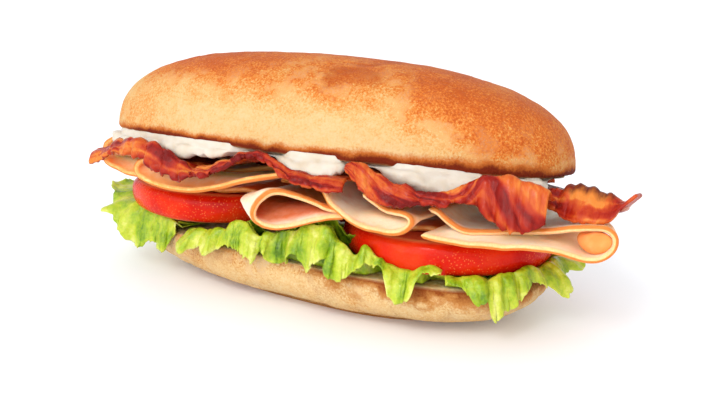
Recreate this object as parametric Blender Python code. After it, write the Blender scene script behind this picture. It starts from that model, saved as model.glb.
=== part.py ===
"""Turkey bacon club sandwich on a long soft roll: breads, mayonnaise, bacon, folded turkey, tomato, lettuce.

The long axis of the sandwich is X, its front is -Y, and Z is up. The origin is the middle of the flat spot
that the lower bread rests on. Sizes are in millimetres and are turned into metres when a mesh is made.
The filling is laid out in a straight stack, as it looks at the front, and is then fanned: the upper bread
opens towards the front like a book, so each layer gets lower and thinner towards the back.
"""

import math

import bpy
import numpy as np

MM = 0.001

# The lower bread: half length, half width, squareness of its plan, and how it is turned in plan.
BASE_HALF = (83.7, 36.0)
BASE_SQUARE = 2.7
BASE_TURN = math.radians(-7.0)
BASE_CENTRE = (0.4, 1.0)

# Its height at the front, how its cut face falls towards the back, and how much of its plan is flat below.
BASE_HEIGHT = 20.0
BED_SLOPE = -0.045
BASE_FLAT = 0.60

# The upper bread: its plan as above, its height, and how boxy its dome is.
CROWN_HALF = (88.8, 38.5)
CROWN_SQUARE = 2.2
CROWN_TURN = math.radians(1.8)
CROWN_CENTRE = (0.3, 0.0)
CROWN_HEIGHT = 33.6
CROWN_DOME = 2.69

# The height of its cut face at its centre, and how steeply that face opens towards the front.
CROWN_CUT_Z = 52.4
CROWN_OPEN = 0.20

# The straight stack is as high as the filling is at the front.
FRONT_Y = -38.0
STACK_FLOOR = BASE_HEIGHT
STACK_ROOF = 60.0

# The mayonnaise in the straight stack: its top and bottom, how far its edge stays back where no blob hangs,
# and how deep its blobs hang at the front and at the back, as (X, drop).
MAYO_ROOF = 59.6
MAYO_FLOOR = 58.6
MAYO_INSET = 4.5
MAYO_FRONT = [(-90, 0.0), (-74, 0.6), (-58, 0.4), (-50, 2.6), (-42, 4.0), (-33, 3.4), (-24, 2.4),
              (-15, 0.2), (-3, 0.2), (5, 2.2), (11, 3.0), (17, 3.6), (21.5, 3.2), (24.5, 0.2), (36, 0.4),
              (44, 3.4), (55, 5.0), (65, 3.0), (73, 0.2), (82, 1.0), (89, 0.4)]
MAYO_BACK = [(-90, 0.0), (-66, 0.9), (-44, 0.0), (-25, 0.9), (-8, 0.0), (14, 0.0), (17.5, 1.8), (21, 0.0),
             (55, 0.7), (90, 0.0)]

# How far behind its rim a slice of turkey goes on moving sideways, and closing.
SKEW_RUN = 13.0
PINCH_START = 2.0
PINCH_RUN = 18.0

# How far in from the bread's edge a lettuce leaf reaches, and how much higher its edge is between two lobes.
LEAF_DEPTH = 24.0
LEAF_RISE = 6.0

# Half a lobe's share of the way round the bread at each end of a leaf, and the points along a lobe.
LOBE_MARGIN = 0.015
LOBE_POINTS = 5

# Radius of a tomato slice, and thickness of each kind of slice.
TOMATO_RADIUS = 37.0
TOMATO_THICK = 11.0
TURKEY_THICK = 2.2
BACON_THICK = 2.2
LEAF_THICK = 0.8

# Where a slice of turkey has its rows of points, as shares of the way from its front rim to its rear rim.
TURKEY_LANES = np.array([0.0, 0.12, 0.35, 1.0])

# Edges sharper than this stay sharp.
SHARP_ANGLE = math.radians(50.0)


def power(value, exponent):
    """A signed power, for superellipses."""
    return np.sign(value) * np.abs(value) ** exponent


def smoothstep(low, high, value):
    t = np.clip((value - low) / (high - low), 0.0, 1.0)
    return t * t * (3.0 - 2.0 * t)


def ripple(x, y, size, seed):
    """Gentle unevenness from -1 to 1 with features about size across, the same on each run."""
    draw = np.random.default_rng(seed)
    total = np.zeros(np.broadcast(x, y).shape)
    for _ in range(6):
        angle = draw.uniform(0.0, math.tau)
        pitch = size * draw.uniform(0.8, 1.6)
        phase = draw.uniform(0.0, math.tau)
        total = total + np.sin((x * math.cos(angle) + y * math.sin(angle)) * math.tau / pitch + phase)
    return total / 3.0


def smooth_curve(points, count):
    """Evenly spaced points along a smooth curve through the given ones."""
    points = np.array(points, float)
    ends = np.vstack([2 * points[0] - points[1], points, 2 * points[-1] - points[-2]])
    fine = []
    for a, b, c, d in zip(ends[:-3], ends[1:-2], ends[2:-1], ends[3:]):
        t = np.linspace(0.0, 1.0, 24, endpoint=False)[:, None]
        fine.append(0.5 * (2 * b + (c - a) * t + (2 * a - 5 * b + 4 * c - d) * t**2
                           + (3 * b - a - 3 * c + d) * t**3))
    fine = np.vstack(fine + [points[-1:]])
    run = np.concatenate([[0.0], np.cumsum(np.linalg.norm(np.diff(fine, axis=0), axis=1))])
    stops = np.linspace(0.0, run[-1], count)
    return np.stack([np.interp(stops, run, fine[:, k]) for k in range(fine.shape[1])], axis=1)


def superellipse(half, square, angle):
    """A point or points on a rounded outline, in plan."""
    x = half[0] * power(np.cos(angle), 2.0 / square)
    y = half[1] * power(np.sin(angle), 2.0 / square)
    return x, y


def turned(x, y, angle, centre):
    c, s = math.cos(angle), math.sin(angle)
    return centre[0] + c * x - s * y, centre[1] + s * x + c * y


def bed_height(y):
    """The lower bread's cut face."""
    return BASE_HEIGHT + BED_SLOPE * (y - FRONT_Y)


def crown_cut_height(x, y):
    """The upper bread's cut face."""
    c, s = math.cos(CROWN_TURN), math.sin(CROWN_TURN)
    local_y = -s * (x - CROWN_CENTRE[0]) + c * (y - CROWN_CENTRE[1])
    return CROWN_CUT_Z - CROWN_OPEN * local_y


def fanned(points):
    """Moves points of the straight stack to where the opened bread holds them."""
    x, y, z = points[..., 0], points[..., 1], points[..., 2]
    room = crown_cut_height(x, y) - bed_height(y)
    lifted = bed_height(y) + (z - STACK_FLOOR) * room / (STACK_ROOF - STACK_FLOOR)
    return np.stack([x, y, lifted], axis=-1)


def material(name, colour, roughness):
    made = bpy.data.materials.new(name)
    made.use_nodes = True
    shader = made.node_tree.nodes["Principled BSDF"]
    shader.inputs["Base Color"].default_value = (*colour, 1.0)
    shader.inputs["Roughness"].default_value = roughness
    shader.inputs["Metallic"].default_value = 0.0
    return made


def add_mesh(name, points, faces, finish):
    """One object from points in millimetres, shaded smooth except at its sharp edges."""
    mesh = bpy.data.meshes.new(name)
    mesh.from_pydata((np.asarray(points).reshape(-1, 3) * MM).tolist(), [], faces)
    mesh.materials.append(finish)
    mesh.shade_smooth()
    mesh.set_sharp_from_angle(angle=SHARP_ANGLE)
    made = bpy.data.objects.new(name, mesh)
    bpy.context.scene.collection.objects.link(made)
    return made


def grid_faces(rows, columns, start, flip):
    """Two triangles for each cell of a grid of points, all split along the same diagonal."""
    faces = []
    for i in range(rows - 1):
        for j in range(columns - 1):
            a = start + i * columns + j
            b, c, d = a + 1, a + columns + 1, a + columns
            pair = [(a, b, c), (a, c, d)]
            faces += [f[::-1] for f in pair] if flip else pair
    return faces


def slab(middle, thickness):
    """Points and faces of a closed sheet: a grid of points, given thickness along its own normals."""
    rows, columns = middle.shape[:2]
    along = np.gradient(middle, axis=0)
    across = np.gradient(middle, axis=1)
    normal = np.cross(along, across)
    normal /= np.linalg.norm(normal, axis=2, keepdims=True)
    upper, lower = middle + normal * thickness / 2.0, middle - normal * thickness / 2.0
    count = rows * columns
    faces = grid_faces(rows, columns, 0, True) + grid_faces(rows, columns, count, False)
    rim = ([(0, j) for j in range(columns - 1)] + [(i, columns - 1) for i in range(rows - 1)]
           + [(rows - 1, j) for j in range(columns - 1, 0, -1)] + [(i, 0) for i in range(rows - 1, 0, -1)])
    ring = [i * columns + j for i, j in rim]
    for a, b in zip(ring, ring[1:] + ring[:1]):
        faces += [(a, b, b + count), (a, b + count, a + count)]
    points = np.concatenate([upper.reshape(-1, 3), lower.reshape(-1, 3)])
    return points, faces


def stacked_rings(rings):
    """Points and faces of a closed body from rings of equal length. The first and last get a cap."""
    count = len(rings[0])
    faces = []
    for level in range(len(rings) - 1):
        for j in range(count):
            a, b = level * count + j, level * count + (j + 1) % count
            faces.append((a, b, b + count, a + count))
    last = (len(rings) - 1) * count
    faces.append(tuple(range(count))[::-1])
    faces.append(tuple(range(last, last + count)))
    return np.concatenate(rings), faces


def lower_bread():
    """A shallow boat with a flat spot below and a nearly flat cut face above."""
    angle = np.linspace(0.0, math.tau, 52, endpoint=False)
    out_x, out_y = superellipse(BASE_HALF, BASE_SQUARE, angle)
    rings = []

    def ring(scale, depth):
        x, y = turned(out_x * scale, out_y * scale, BASE_TURN, BASE_CENTRE)
        bumps = 1.0 + 0.012 * ripple(x, y, 38.0, 3) * math.sin(math.pi * min(depth, 1.0))
        top = bed_height(y)
        return np.stack([x * bumps, y * bumps, top * (1.0 - depth)], axis=1)

    rings.append(ring(BASE_FLAT, 1.0))
    for scale in (0.73, 0.84, 0.92, 0.97):
        rings.append(ring(scale, (1.0 - scale**3) ** (1.0 / 3.0)))
    rings.append(ring(1.0, 0.18))
    rings.append(ring(0.99, 0.03))
    rings.append(ring(0.965, 0.0))
    rings.append(ring(0.5, 0.0))
    points, faces = stacked_rings(rings)
    return add_mesh("bread_bottom", points, faces, material("bread_pale", (0.78, 0.52, 0.27), 0.75))


def crown_point(x, y, rise):
    """A point of the upper bread from its own frame to where the bread sits."""
    lean = math.atan(CROWN_OPEN)
    c, s = math.cos(lean), math.sin(lean)
    tilted_y, tilted_z = y * c + rise * s, -y * s + rise * c
    plan_x, plan_y = turned(x, tilted_y, CROWN_TURN, CROWN_CENTRE)
    return np.stack([plan_x, plan_y, CROWN_CUT_Z + tilted_z], axis=-1)


def upper_bread():
    """A long dome, fuller at its left end, with a flat cut face below."""
    angle = np.linspace(0.0, math.tau, 56, endpoint=False)
    out_x, out_y = superellipse(CROWN_HALF, CROWN_SQUARE, angle)
    rings = []

    def ring(scale, share):
        x, y = out_x * scale, out_y * scale
        u = x / CROWN_HALF[0]
        height = CROWN_HEIGHT * (1.0 - 0.015 * u - 0.065 * u * u)
        swell = 1.0 + 0.02 * ripple(x, y, 60.0, 8) * min(1.0, share * 2.0)
        return crown_point(x * (1.0 + 0.1 * (swell - 1.0)), y, height * share * swell)

    rings.append(ring(0.5, 0.0))
    rings.append(ring(0.98, 0.0))
    rings.append(ring(0.997, 0.03))
    for step in range(1, 9):
        tilt = step / 9.0 * math.pi / 2.0
        rings.append(ring(math.cos(tilt) ** (2.0 / CROWN_DOME), math.sin(tilt) ** (2.0 / CROWN_DOME)))
    rings.append(ring(0.06, 1.0))
    points, faces = stacked_rings(rings)
    return add_mesh("bread_top", points, faces, material("bread_golden", (0.72, 0.38, 0.14), 0.6))


def tomato_slice(name, centre, floor):
    """A thick round slice whose skin side bulges."""
    angle = np.linspace(0.0, math.tau, 36, endpoint=False)
    lobes = 1.0 + 0.012 * np.sin(5 * angle + centre[0]) + 0.008 * np.sin(3 * angle + 1.0)
    rings = []
    for scale, share in ((0.90, 0.0), (0.97, 0.12), (1.0, 0.42), (0.995, 0.68), (0.965, 0.90), (0.90, 1.0)):
        radius = TOMATO_RADIUS * scale * lobes
        x, y = centre[0] + radius * np.cos(angle), centre[1] + radius * np.sin(angle)
        rings.append(np.stack([x, y, np.full_like(x, floor + share * TOMATO_THICK)], axis=1))
    points, faces = stacked_rings(rings)
    return add_mesh(name, fanned(points), faces, material("tomato", (0.75, 0.05, 0.02), 0.25))


def spread(stops, at):
    """Values at the given places, running smoothly between stops. A stop is a place and its value."""
    places, values = np.array(stops, float).T
    index = np.clip(np.searchsorted(places, at, side="right") - 1, 0, len(places) - 2)
    t = smoothstep(places[index], places[index + 1], at)
    return values[index] * (1.0 - t) + values[index + 1] * t


def turkey_slice(name, section, front, rear, skew=0.0, pinch=None, columns=24):
    """A thin slice of roast turkey, folded: a curve in X and Z that runs from a front rim to a rear rim.

    front and rear hold (share of the way along the curve, Y). skew moves the slice to the left behind its
    rim, and pinch, if given, is (Z, share kept): the fold closes towards that height behind its rim.
    """
    curve = smooth_curve(section, columns)
    share = np.linspace(0.0, 1.0, columns)
    near, far = spread(front, share), spread(rear, share)
    y = near[:, None] + (far - near)[:, None] * TURKEY_LANES
    x = np.repeat(curve[:, :1], len(TURKEY_LANES), axis=1)
    z = np.repeat(curve[:, 1:], len(TURKEY_LANES), axis=1)
    x = x - skew * np.minimum(y - near[:, None], SKEW_RUN)
    points, faces = slab(np.stack([x, y, z], axis=2), TURKEY_THICK)
    if pinch:
        level, kept = pinch
        closing = smoothstep(PINCH_START, PINCH_RUN, np.tile((y - near[:, None]).ravel(), 2))
        points[:, 2] = level + (points[:, 2] - level) * (1.0 - (1.0 - kept) * closing)
    return add_mesh(name, fanned(points), faces, material("turkey", (0.86, 0.60, 0.42), 0.45))


def bacon_strip(name, stations, side=-1.0, columns=28):
    """A wavy strip that lies on the turkey and hangs a lip over its edge.

    A station is X, the lip's top and bottom, the lip's Y, the height inside the filling, the other edge's Y
    and how far the lip's top leans back. Side is -1 for a lip at the front and 1 for one at the back.
    """
    path = smooth_curve(stations, columns)
    x, top, low, lip, inner, rear, lean = path.T
    crest = lip + lean
    lanes = [(lip, low), (lip + 0.45 * lean + 0.5 * side, 0.45 * top + 0.55 * low),
             (crest, top - BACON_THICK / 3.0), (crest - 4.2 * side, 0.1 * top + 0.9 * inner), (rear, inner)]
    rows = [np.stack([x, y, z], axis=1) for y, z in lanes]
    middle = np.stack(rows if side < 0.0 else rows[::-1], axis=1)
    points, faces = slab(middle, BACON_THICK)
    return add_mesh(name, fanned(points), faces, material("bacon", (0.55, 0.12, 0.05), 0.35))


def mayonnaise():
    """A layer under the upper bread, with thick blobs that show at the front and fewer at the back."""
    angle = np.linspace(0.0, math.tau, 60, endpoint=False)
    out_x, out_y = superellipse(CROWN_HALF, CROWN_SQUARE, angle)
    front = smoothstep(-0.2, -0.6, np.sin(angle))
    back = smoothstep(0.2, 0.6, np.sin(angle))
    drop = front * spread(MAYO_FRONT, out_x) + back * spread(MAYO_BACK, out_x)
    inset = MAYO_INSET * (1.0 - smoothstep(0.3, 2.5, drop))
    rings = []
    for scale, share, outward in ((0.7, 0.0, 0.0), (0.86, 0.6, 0.0), (0.96, 1.0, 0.0), (1.0, 0.85, 0.8),
                                  (0.995, None, 0.5), (0.7, None, 0.0)):
        reach = scale - (inset - outward) / np.hypot(out_x, out_y)
        x, y = turned(out_x * reach, out_y * reach, CROWN_TURN, CROWN_CENTRE)
        z = MAYO_ROOF + 0.0 * x if share is None else MAYO_FLOOR - share * drop
        rings.append(np.stack([x, y, z], axis=1))
    points, faces = stacked_rings(rings)
    return add_mesh("mayonnaise", fanned(points), faces, material("mayonnaise", (0.93, 0.86, 0.74), 0.35))


def base_outline(count=720):
    """The lower bread's outline, anticlockwise from its right: points, outward normals, share of its run."""
    angle = np.linspace(0.0, math.tau, count, endpoint=False)
    x, y = turned(*superellipse(BASE_HALF, BASE_SQUARE, angle), BASE_TURN, BASE_CENTRE)
    points = np.stack([x, y], axis=1)
    run = np.concatenate([[0.0], np.cumsum(np.linalg.norm(np.roll(points, -1, axis=0) - points, axis=1))])
    tangent = np.roll(points, -3, axis=0) - np.roll(points, 3, axis=0)
    tangent /= np.linalg.norm(tangent, axis=1, keepdims=True)
    normal = np.stack([tangent[:, 1], -tangent[:, 0]], axis=1)
    return points, normal, run[:-1] / run[-1]


def lettuce_leaf(name, level, lobes):
    """A leaf on the lower bread, whose frilled edge hangs out of it in lobes.

    A lobe is (share of the way round the bread, how far it stands out, height of its tip and of its hump).
    """
    outline, normal, run = base_outline()
    lobes = np.array(lobes, float)
    places = np.concatenate([[lobes[0, 0] - LOBE_MARGIN], lobes[:, 0], [lobes[-1, 0] + LOBE_MARGIN]])
    share = np.interp(np.linspace(-0.5, len(lobes) - 0.5, LOBE_POINTS * len(lobes) + 1),
                      np.arange(-1, len(lobes) + 1), places)
    count = np.interp(share, places, np.arange(-1, len(lobes) + 1))
    reach, tip, hump = (spread(np.stack([lobes[:, 0], lobes[:, k]], axis=1), share) for k in (1, 2, 3))
    wave, sway = np.cos(math.tau * count), np.sin(math.tau * count)
    edge, out = (np.stack([np.interp(share, run, table[:, k], period=1.0) for k in range(2)], axis=1)
                 for table in (outline, normal))
    side = np.stack([-out[:, 1], out[:, 0]], axis=1)
    rows = []
    for inset in (LEAF_DEPTH, 3.0):
        rows.append(np.column_stack([edge - out * inset, level + 0.8 * wave]))
    for v in (0.15, 0.55, 1.0):
        bend = v * math.pi / 2.0
        outward = 1.4 + (reach * (0.78 + 0.22 * wave) - 1.4) * math.sin(bend)
        edge_z = tip + LEAF_RISE * (1.0 - wave) / 2.0
        z = level + (edge_z - level) * (1.0 - math.cos(bend)) + (hump - level) * math.sin(math.pi * v) * 0.8
        xy = edge + out * outward[:, None] + side * (2.4 * v * sway)[:, None]
        rows.append(np.column_stack([xy, z]))
    points, faces = slab(np.stack(rows, axis=1), LEAF_THICK)
    return add_mesh(name, fanned(points), faces, material("lettuce", (0.35, 0.55, 0.05), 0.4))


def clear_scene():
    for item in list(bpy.data.objects):
        bpy.data.objects.remove(item)


# The slices of turkey: each fold as a curve of (X, Z) in the straight stack, and its rims.
TURKEY = {
    "turkey_left": dict(
        section=[(3, 52.2), (-6, 49.9), (-14, 47.6), (-20, 45.4), (-29, 43.2), (-38, 41.9), (-46, 42.0),
                 (-53, 43.0), (-59, 44.3), (-61, 46.9), (-59.3, 49.7), (-55, 50.6), (-48, 49.0), (-40, 47.3),
                 (-30, 47.9), (-20, 49.8), (-10, 51.7), (-4, 52.8)],
        front=[(0.0, -40), (0.1, -43), (0.45, -40), (0.55, -36), (0.7, -37), (0.85, -39), (1.0, -38)],
        rear=[(0.0, 37), (0.3, 41), (0.5, 35), (0.6, 33), (0.85, 36), (1.0, 33)]),
    "turkey_far_left": dict(
        section=[(-55, 52.9), (-61, 53.1), (-69, 52.8), (-76, 51.2), (-80.2, 47.8), (-79.5, 44.8),
                 (-74, 42.9), (-66, 42.4)],
        front=[(0.0, -32), (0.5, -24), (0.7, -22), (1.0, -27)],
        rear=[(0.0, 33), (0.6, 27), (0.7, 25), (1.0, 30)]),
    "turkey_tongue": dict(
        section=[(-55, 56.3), (-63, 56.6), (-74, 56.8), (-83, 55.6), (-88.5, 52.6), (-90, 49.6)],
        front=[(0.0, -18), (0.6, -16), (1.0, -9)],
        rear=[(0.0, 6), (0.6, 7), (1.0, 1)]),
    "turkey_loop": dict(
        section=[(21, 43.0), (16, 44.6), (10, 46.2), (5, 46.8), (0.5, 45.6), (-3.3, 42.4), (-5.1, 38.8),
                 (-4.4, 36.3), (-1.5, 35.0), (3.5, 34.7), (9.5, 36.0), (16, 38.6), (21, 40.2)],
        front=[(0.0, -42), (0.3, -45), (0.6, -46), (1.0, -43)],
        rear=[(0.0, 36), (0.5, 40), (1.0, 36)], skew=0.95, pinch=(41.4, 0.3)),
    "turkey_inner": dict(
        section=[(-12, 45.8), (-4, 47.3), (3, 49.0), (9, 50.6), (12.5, 50.9)],
        front=[(0.0, -29), (0.5, -34), (1.0, -37)],
        rear=[(0.0, 34), (1.0, 34)], columns=12),
    "turkey_middle": dict(
        section=[(15.6, 50.9), (17.8, 49.2), (20.3, 46.9), (25, 43.6), (30, 40.9), (35, 39.4), (40, 38.9),
                 (45, 38.8), (49, 39.9), (51.5, 42.2), (51.4, 44.3), (48.8, 45.4), (45, 45.4), (41, 45.6),
                 (36.5, 47.3), (33, 49.2)],
        front=[(0.0, -40), (0.2, -44), (0.5, -45.5), (0.75, -44), (1.0, -40)],
        rear=[(0.0, 36), (0.5, 40), (1.0, 36)]),
    "turkey_right": dict(
        section=[(55, 39.2), (60, 38.5), (67.7, 38.0), (74, 38.4), (81, 38.9), (87, 39.6), (93, 39.4),
                 (98, 38.8), (103.5, 37.6), (107, 37.9), (109.6, 39.4), (111.2, 42), (111, 44.6),
                 (108.8, 46.2), (105, 46.1), (100, 45.2), (94, 44.3), (87, 43.2), (80, 42.2), (73, 41.5),
                 (67, 41.6), (62.5, 43.8), (58.8, 46.6), (56, 47.4)],
        front=[(0.0, -43), (0.2, -42), (0.42, -35), (0.52, -32), (0.7, -33), (1.0, -40)],
        rear=[(0.0, 36), (0.2, 30), (0.36, 6), (0.46, -21), (0.54, -22), (0.64, -8), (0.78, 26), (1.0, 36)],
        columns=34),
}

# The strips of bacon that show at the front, as stations from left to right.
BACON = {
    "bacon_left": dict(
        stations=[(-88, 48.6, 44.4, -25, 55.9, -21, 1.5), (-82, 51.5, 46.5, -27, 55.9, -21, 2),
                  (-76, 54.5, 50.0, -31, 55.9, -21, 2), (-69, 56.2, 51.3, -34, 55.9, -21, 2),
                  (-62, 58.2, 51.2, -37, 55.9, -21, 2), (-55, 57.6, 50.8, -39, 55.6, -20, 2.5),
                  (-50, 57.4, 47.8, -41, 54.2, -16, 3), (-43, 55.4, 46.2, -43, 52.0, -14, 3),
                  (-37, 52.8, 46.0, -44, 50.6, -14, 3), (-31, 50.8, 47.4, -44.5, 50.4, -14, 2),
                  (-25, 51.4, 48.8, -45, 52.0, -14, 1.5), (-19, 54.6, 51.2, -44, 53.8, -14, 2),
                  (-13, 57.6, 55.0, -43, 55.2, -14, 2), (-7, 59.6, 57.2, -43, 55.9, -14, 1.5),
                  (-2, 59.0, 56.4, -43.5, 55.7, -14, 1.5), (3, 56.8, 53.6, -44.5, 55.0, -14, 2),
                  (9, 54.4, 52.0, -45, 54.2, -14, 1.5), (16, 53.9, 51.4, -45, 53.5, -16, 1.5),
                  (23, 53.4, 50.8, -43.5, 53.2, -20, 1.5)]),
    "bacon_middle": dict(
        stations=[(26.5, 58.4, 56.6, -40, 55.6, -30, 1), (29, 59.6, 55.0, -41.5, 55.9, -22, 2),
                  (33, 59.6, 52.4, -44, 55.6, -18, 3), (37, 58.0, 49.6, -45, 54.0, -18, 3.5),
                  (42, 55.8, 48.2, -46, 51.4, -18, 3.5), (48, 54.6, 47.8, -46, 50.2, -18, 3),
                  (54, 53.6, 48.6, -45, 50.2, -18, 2.5), (60, 53.4, 49.2, -43, 49.8, -18, 2),
                  (66, 55.2, 49.8, -40.5, 50.6, -18, 2), (71, 57.6, 50.6, -39, 52.8, -19, 2.5),
                  (75.5, 58.8, 47.0, -39.5, 54.8, -21, 4), (80, 59.4, 44.4, -40.5, 55.6, -24, 5),
                  (84.5, 58.4, 43.2, -40, 55.4, -26, 5), (89, 57.6, 45.6, -38, 54.6, -27, 4),
                  (93, 55.6, 48.6, -35.5, 53.2, -28, 3)]),
    "bacon_right": dict(
        stations=[(66, 52.6, 51.2, -14, 52.2, -2, 1), (76, 55.8, 54.4, -16, 55.4, 2, 1),
                  (86, 55.6, 53.0, -20, 54.6, 2, 2), (92, 57.0, 50.0, -26, 52.4, 0, 5),
                  (97, 59.2, 48.8, -29, 51.0, -2, 7), (102, 59.6, 49.0, -30, 50.6, -3, 8),
                  (107, 58.2, 49.4, -29.5, 50.8, -4, 8), (110.5, 56.4, 50.2, -28, 51.4, -8, 6),
                  (113.5, 56.0, 53.0, -26, 53.6, -15, 3), (117, 59.2, 57.4, -24, 58.0, -19, 1.5)]),
}

# The lettuce: the height at which each leaf lies on the lower bread, and its lobes.
LETTUCE = {
    "lettuce_left": (23.5, [
        (0.455, 8, 22, 25), (0.483, 10, 26, 26), (0.512, 14, 31, 27), (0.538, 19, 32, 28),
        (0.560, 18, 18.5, 26), (0.587, 10, 8.5, 25), (0.614, 6.5, 9.5, 24)]),
    "lettuce_front": (22.0, [
        (0.645, 6, 14.5, 23), (0.675, 5.5, 18, 26), (0.705, 6, 18.5, 27), (0.730, 7, 18.5, 28),
        (0.755, 7, 18.5, 28), (0.782, 8, 17, 28), (0.812, 8, 17.5, 30), (0.843, 7, 21, 26),
        (0.872, 8, 15, 23), (0.893, 6, 22, 23)]),
    "lettuce_right": (22.0, [
        (0.915, 5.5, 20, 22), (0.935, 6.5, 16, 22), (0.953, 6.5, 11.5, 22), (0.970, 8.5, 19, 22.5),
        (0.987, 13, 14.5, 24), (1.006, 16, 26, 25), (1.032, 12, 22, 24), (1.056, 9, 20, 23)]),
    "lettuce_rear": (21.3, [
        (0.105, 7, 14, 21.5), (0.137, 6, 17, 21.5), (0.168, 6, 15, 21.5), (0.200, 6, 14, 22),
        (0.231, 8, 17, 25), (0.263, 8, 15, 25), (0.294, 7, 14, 25), (0.326, 6, 19, 25),
        (0.357, 7, 20, 25), (0.389, 8, 14, 25), (0.420, 7, 19, 25)]),
}


def wavy_stations(start, end, lip, peaks):
    """Stations for a strip along the back: an even wave between X start and end."""
    stations = []
    for x in np.linspace(start, end, 4 * peaks + 1):
        share = (x - start) / (end - start)
        rise = math.cos(math.tau * peaks * share)
        edge = lip - 9.0 * abs(2.0 * share - 1.0) ** 3
        stations.append((x, 56.1 + 1.9 * rise, 50.6 + 1.8 * rise, edge, 55.6, edge - 24.0, -2.5))
    return stations


def build():
    clear_scene()
    lower_bread()
    upper_bread()
    mayonnaise()
    tomato_slice("tomato_left", (-48.0, 5.0), 27.5)
    tomato_slice("tomato_right", (47.5, -2.0), 24.5)
    for name, shape in TURKEY.items():
        turkey_slice(name, **shape)
    for name, shape in BACON.items():
        bacon_strip(name, **shape)
    bacon_strip("bacon_rear_left", wavy_stations(-62.0, 11.5, 43.0, 2), side=1.0)
    bacon_strip("bacon_rear_right", wavy_stations(26.0, 80.0, 41.0, 2), side=1.0)
    for name, (level, lobes) in LETTUCE.items():
        lettuce_leaf(name, level, lobes)


build()
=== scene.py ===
"""Looks for the turkey bacon club sandwich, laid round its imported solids.

Sizes are in millimetres, as in the part's source, and are turned into metres when a mesh is made. Each piece
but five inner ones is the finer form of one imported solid: it starts from the same named sizes and adds what
that food shows, such as the crust's grain, the browned rim of a slice, the ripples of a strip and the frills
of a leaf.
"""

import math

import bpy
import numpy as np
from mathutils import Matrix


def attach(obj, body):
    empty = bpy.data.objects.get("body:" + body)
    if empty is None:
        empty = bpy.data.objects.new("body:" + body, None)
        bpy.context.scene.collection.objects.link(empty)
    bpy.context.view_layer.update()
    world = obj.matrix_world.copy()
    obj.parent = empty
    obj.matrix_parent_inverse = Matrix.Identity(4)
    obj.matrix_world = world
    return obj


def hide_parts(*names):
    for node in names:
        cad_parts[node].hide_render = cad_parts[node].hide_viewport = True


MM = 0.001

# The breads, as in the part's source.
BASE_HALF = (83.7, 36)
BASE_SQUARE = 2.7
BASE_TURN = math.radians(-7)
BASE_CENTRE = (0.4, 1)
BASE_HEIGHT = 20
BED_SLOPE = -0.045
BASE_FLAT = 0.6
CROWN_HALF = (88.8, 38.5)
CROWN_SQUARE = 2.2
CROWN_TURN = math.radians(1.8)
CROWN_CENTRE = (0.3, 0)
CROWN_HEIGHT = 33.6
CROWN_DOME = 2.69
CROWN_CUT_Z = 52.4
CROWN_OPEN = 0.2

# The straight stack, the mayonnaise, and the slices.
FRONT_Y = -38
STACK_FLOOR = BASE_HEIGHT
STACK_ROOF = 60
MAYO_ROOF = 59.6
MAYO_FLOOR = 58.6
MAYO_INSET = 4.5
MAYO_PRESS = 0.9
MAYO_FRONT = [(-90, 0), (-74, 0.6), (-58, 0.4), (-50, 2.6), (-42, 4), (-33, 3.4), (-24, 2.4),
              (-15, 0.2), (-3, 0.2), (5, 2.2), (11, 3), (17, 3.6), (21.5, 3.2), (24.5, 0.2), (36, 0.4),
              (44, 3.4), (55, 5), (65, 3), (73, 0.2), (82, 1), (89, 0.4)]
MAYO_BACK = [(-90, 0), (-66, 0.9), (-44, 0), (-25, 0.9), (-8, 0), (14, 0), (17.5, 1.8), (21, 0),
             (55, 0.7), (90, 0)]
# How much further the mayonnaise hangs and bulges than its solid, along X.
MAYO_HANG = [(-90, 2.5), (-80, 4), (-66, 4.4), (-56, 2.6), (-46, 0.6), (-30, 0.6), (-20, 0.4), (-10, 0.4),
             (-4, 0.8), (2, 2.2), (8, 2.8), (13, 3), (18, 2.4), (21, 0.6), (24, -0.2), (34, 0.6), (42, 2),
             (54, 2.6), (64, 2.2), (70, 0.6), (75, 3.6), (78, 0.6), (83, 5), (87, 4.6), (90, 1)]
MAYO_BULGE = [(-90, 1), (-70, 1.6), (-50, 0.6), (-12, 0.2), (-4, 1.2), (4, 2.6), (13, 2.8), (18, 1.8),
              (22, 0.6), (25, 0), (34, 0.8), (44, 2.6), (58, 3), (66, 2), (72, 1), (80, 1.6), (90, 1.6)]
SKEW_RUN = 13
PINCH_START = 2
PINCH_RUN = 18
LEAF_DEPTH = 24
LEAF_HANG = 14
LEAF_ROWS = 30
LEAF_STEP = 0.26
REAR_LEAF_STEP = 0.5
TOMATO_RADIUS = 37
TOMATO_THICK = 11
TURKEY_THICK = 2.2
BACON_THICK = 2.2
LEAF_THICK = 0.5
# A leaf's folds: their pitch, their height, and how close to the edge they rise.
FRILL_WAVES = [(9.5, 0.95, 1.2), (5.2, 0.66, 1.8), (2.8, 0.24, 3.2)]
# Stops for what is the same everywhere along X: nothing, or all.
NONE = ((-200, 0), (200, 0))
ALL = ((-200, 1), (200, 1))


def power(value, exponent):
    """A signed power, for superellipses."""
    return np.sign(value) * np.abs(value) ** exponent


def smoothstep(low, high, value):
    t = np.clip((value - low) / (high - low), 0, 1)
    return t * t * (3 - 2 * t)


def bend(a, b, c, d, t):
    """The place a share t of the way from b to c, on the smooth curve through all four."""
    return 0.5 * (2 * b + (c - a) * t + (2 * a - 5 * b + 4 * c - d) * t**2 + (3 * b - a - 3 * c + d) * t**3)


def lengths(points):
    """How far along its line each point lies."""
    return np.concatenate([[0], np.cumsum(np.linalg.norm(np.diff(points, axis=0), axis=1))])


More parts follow.
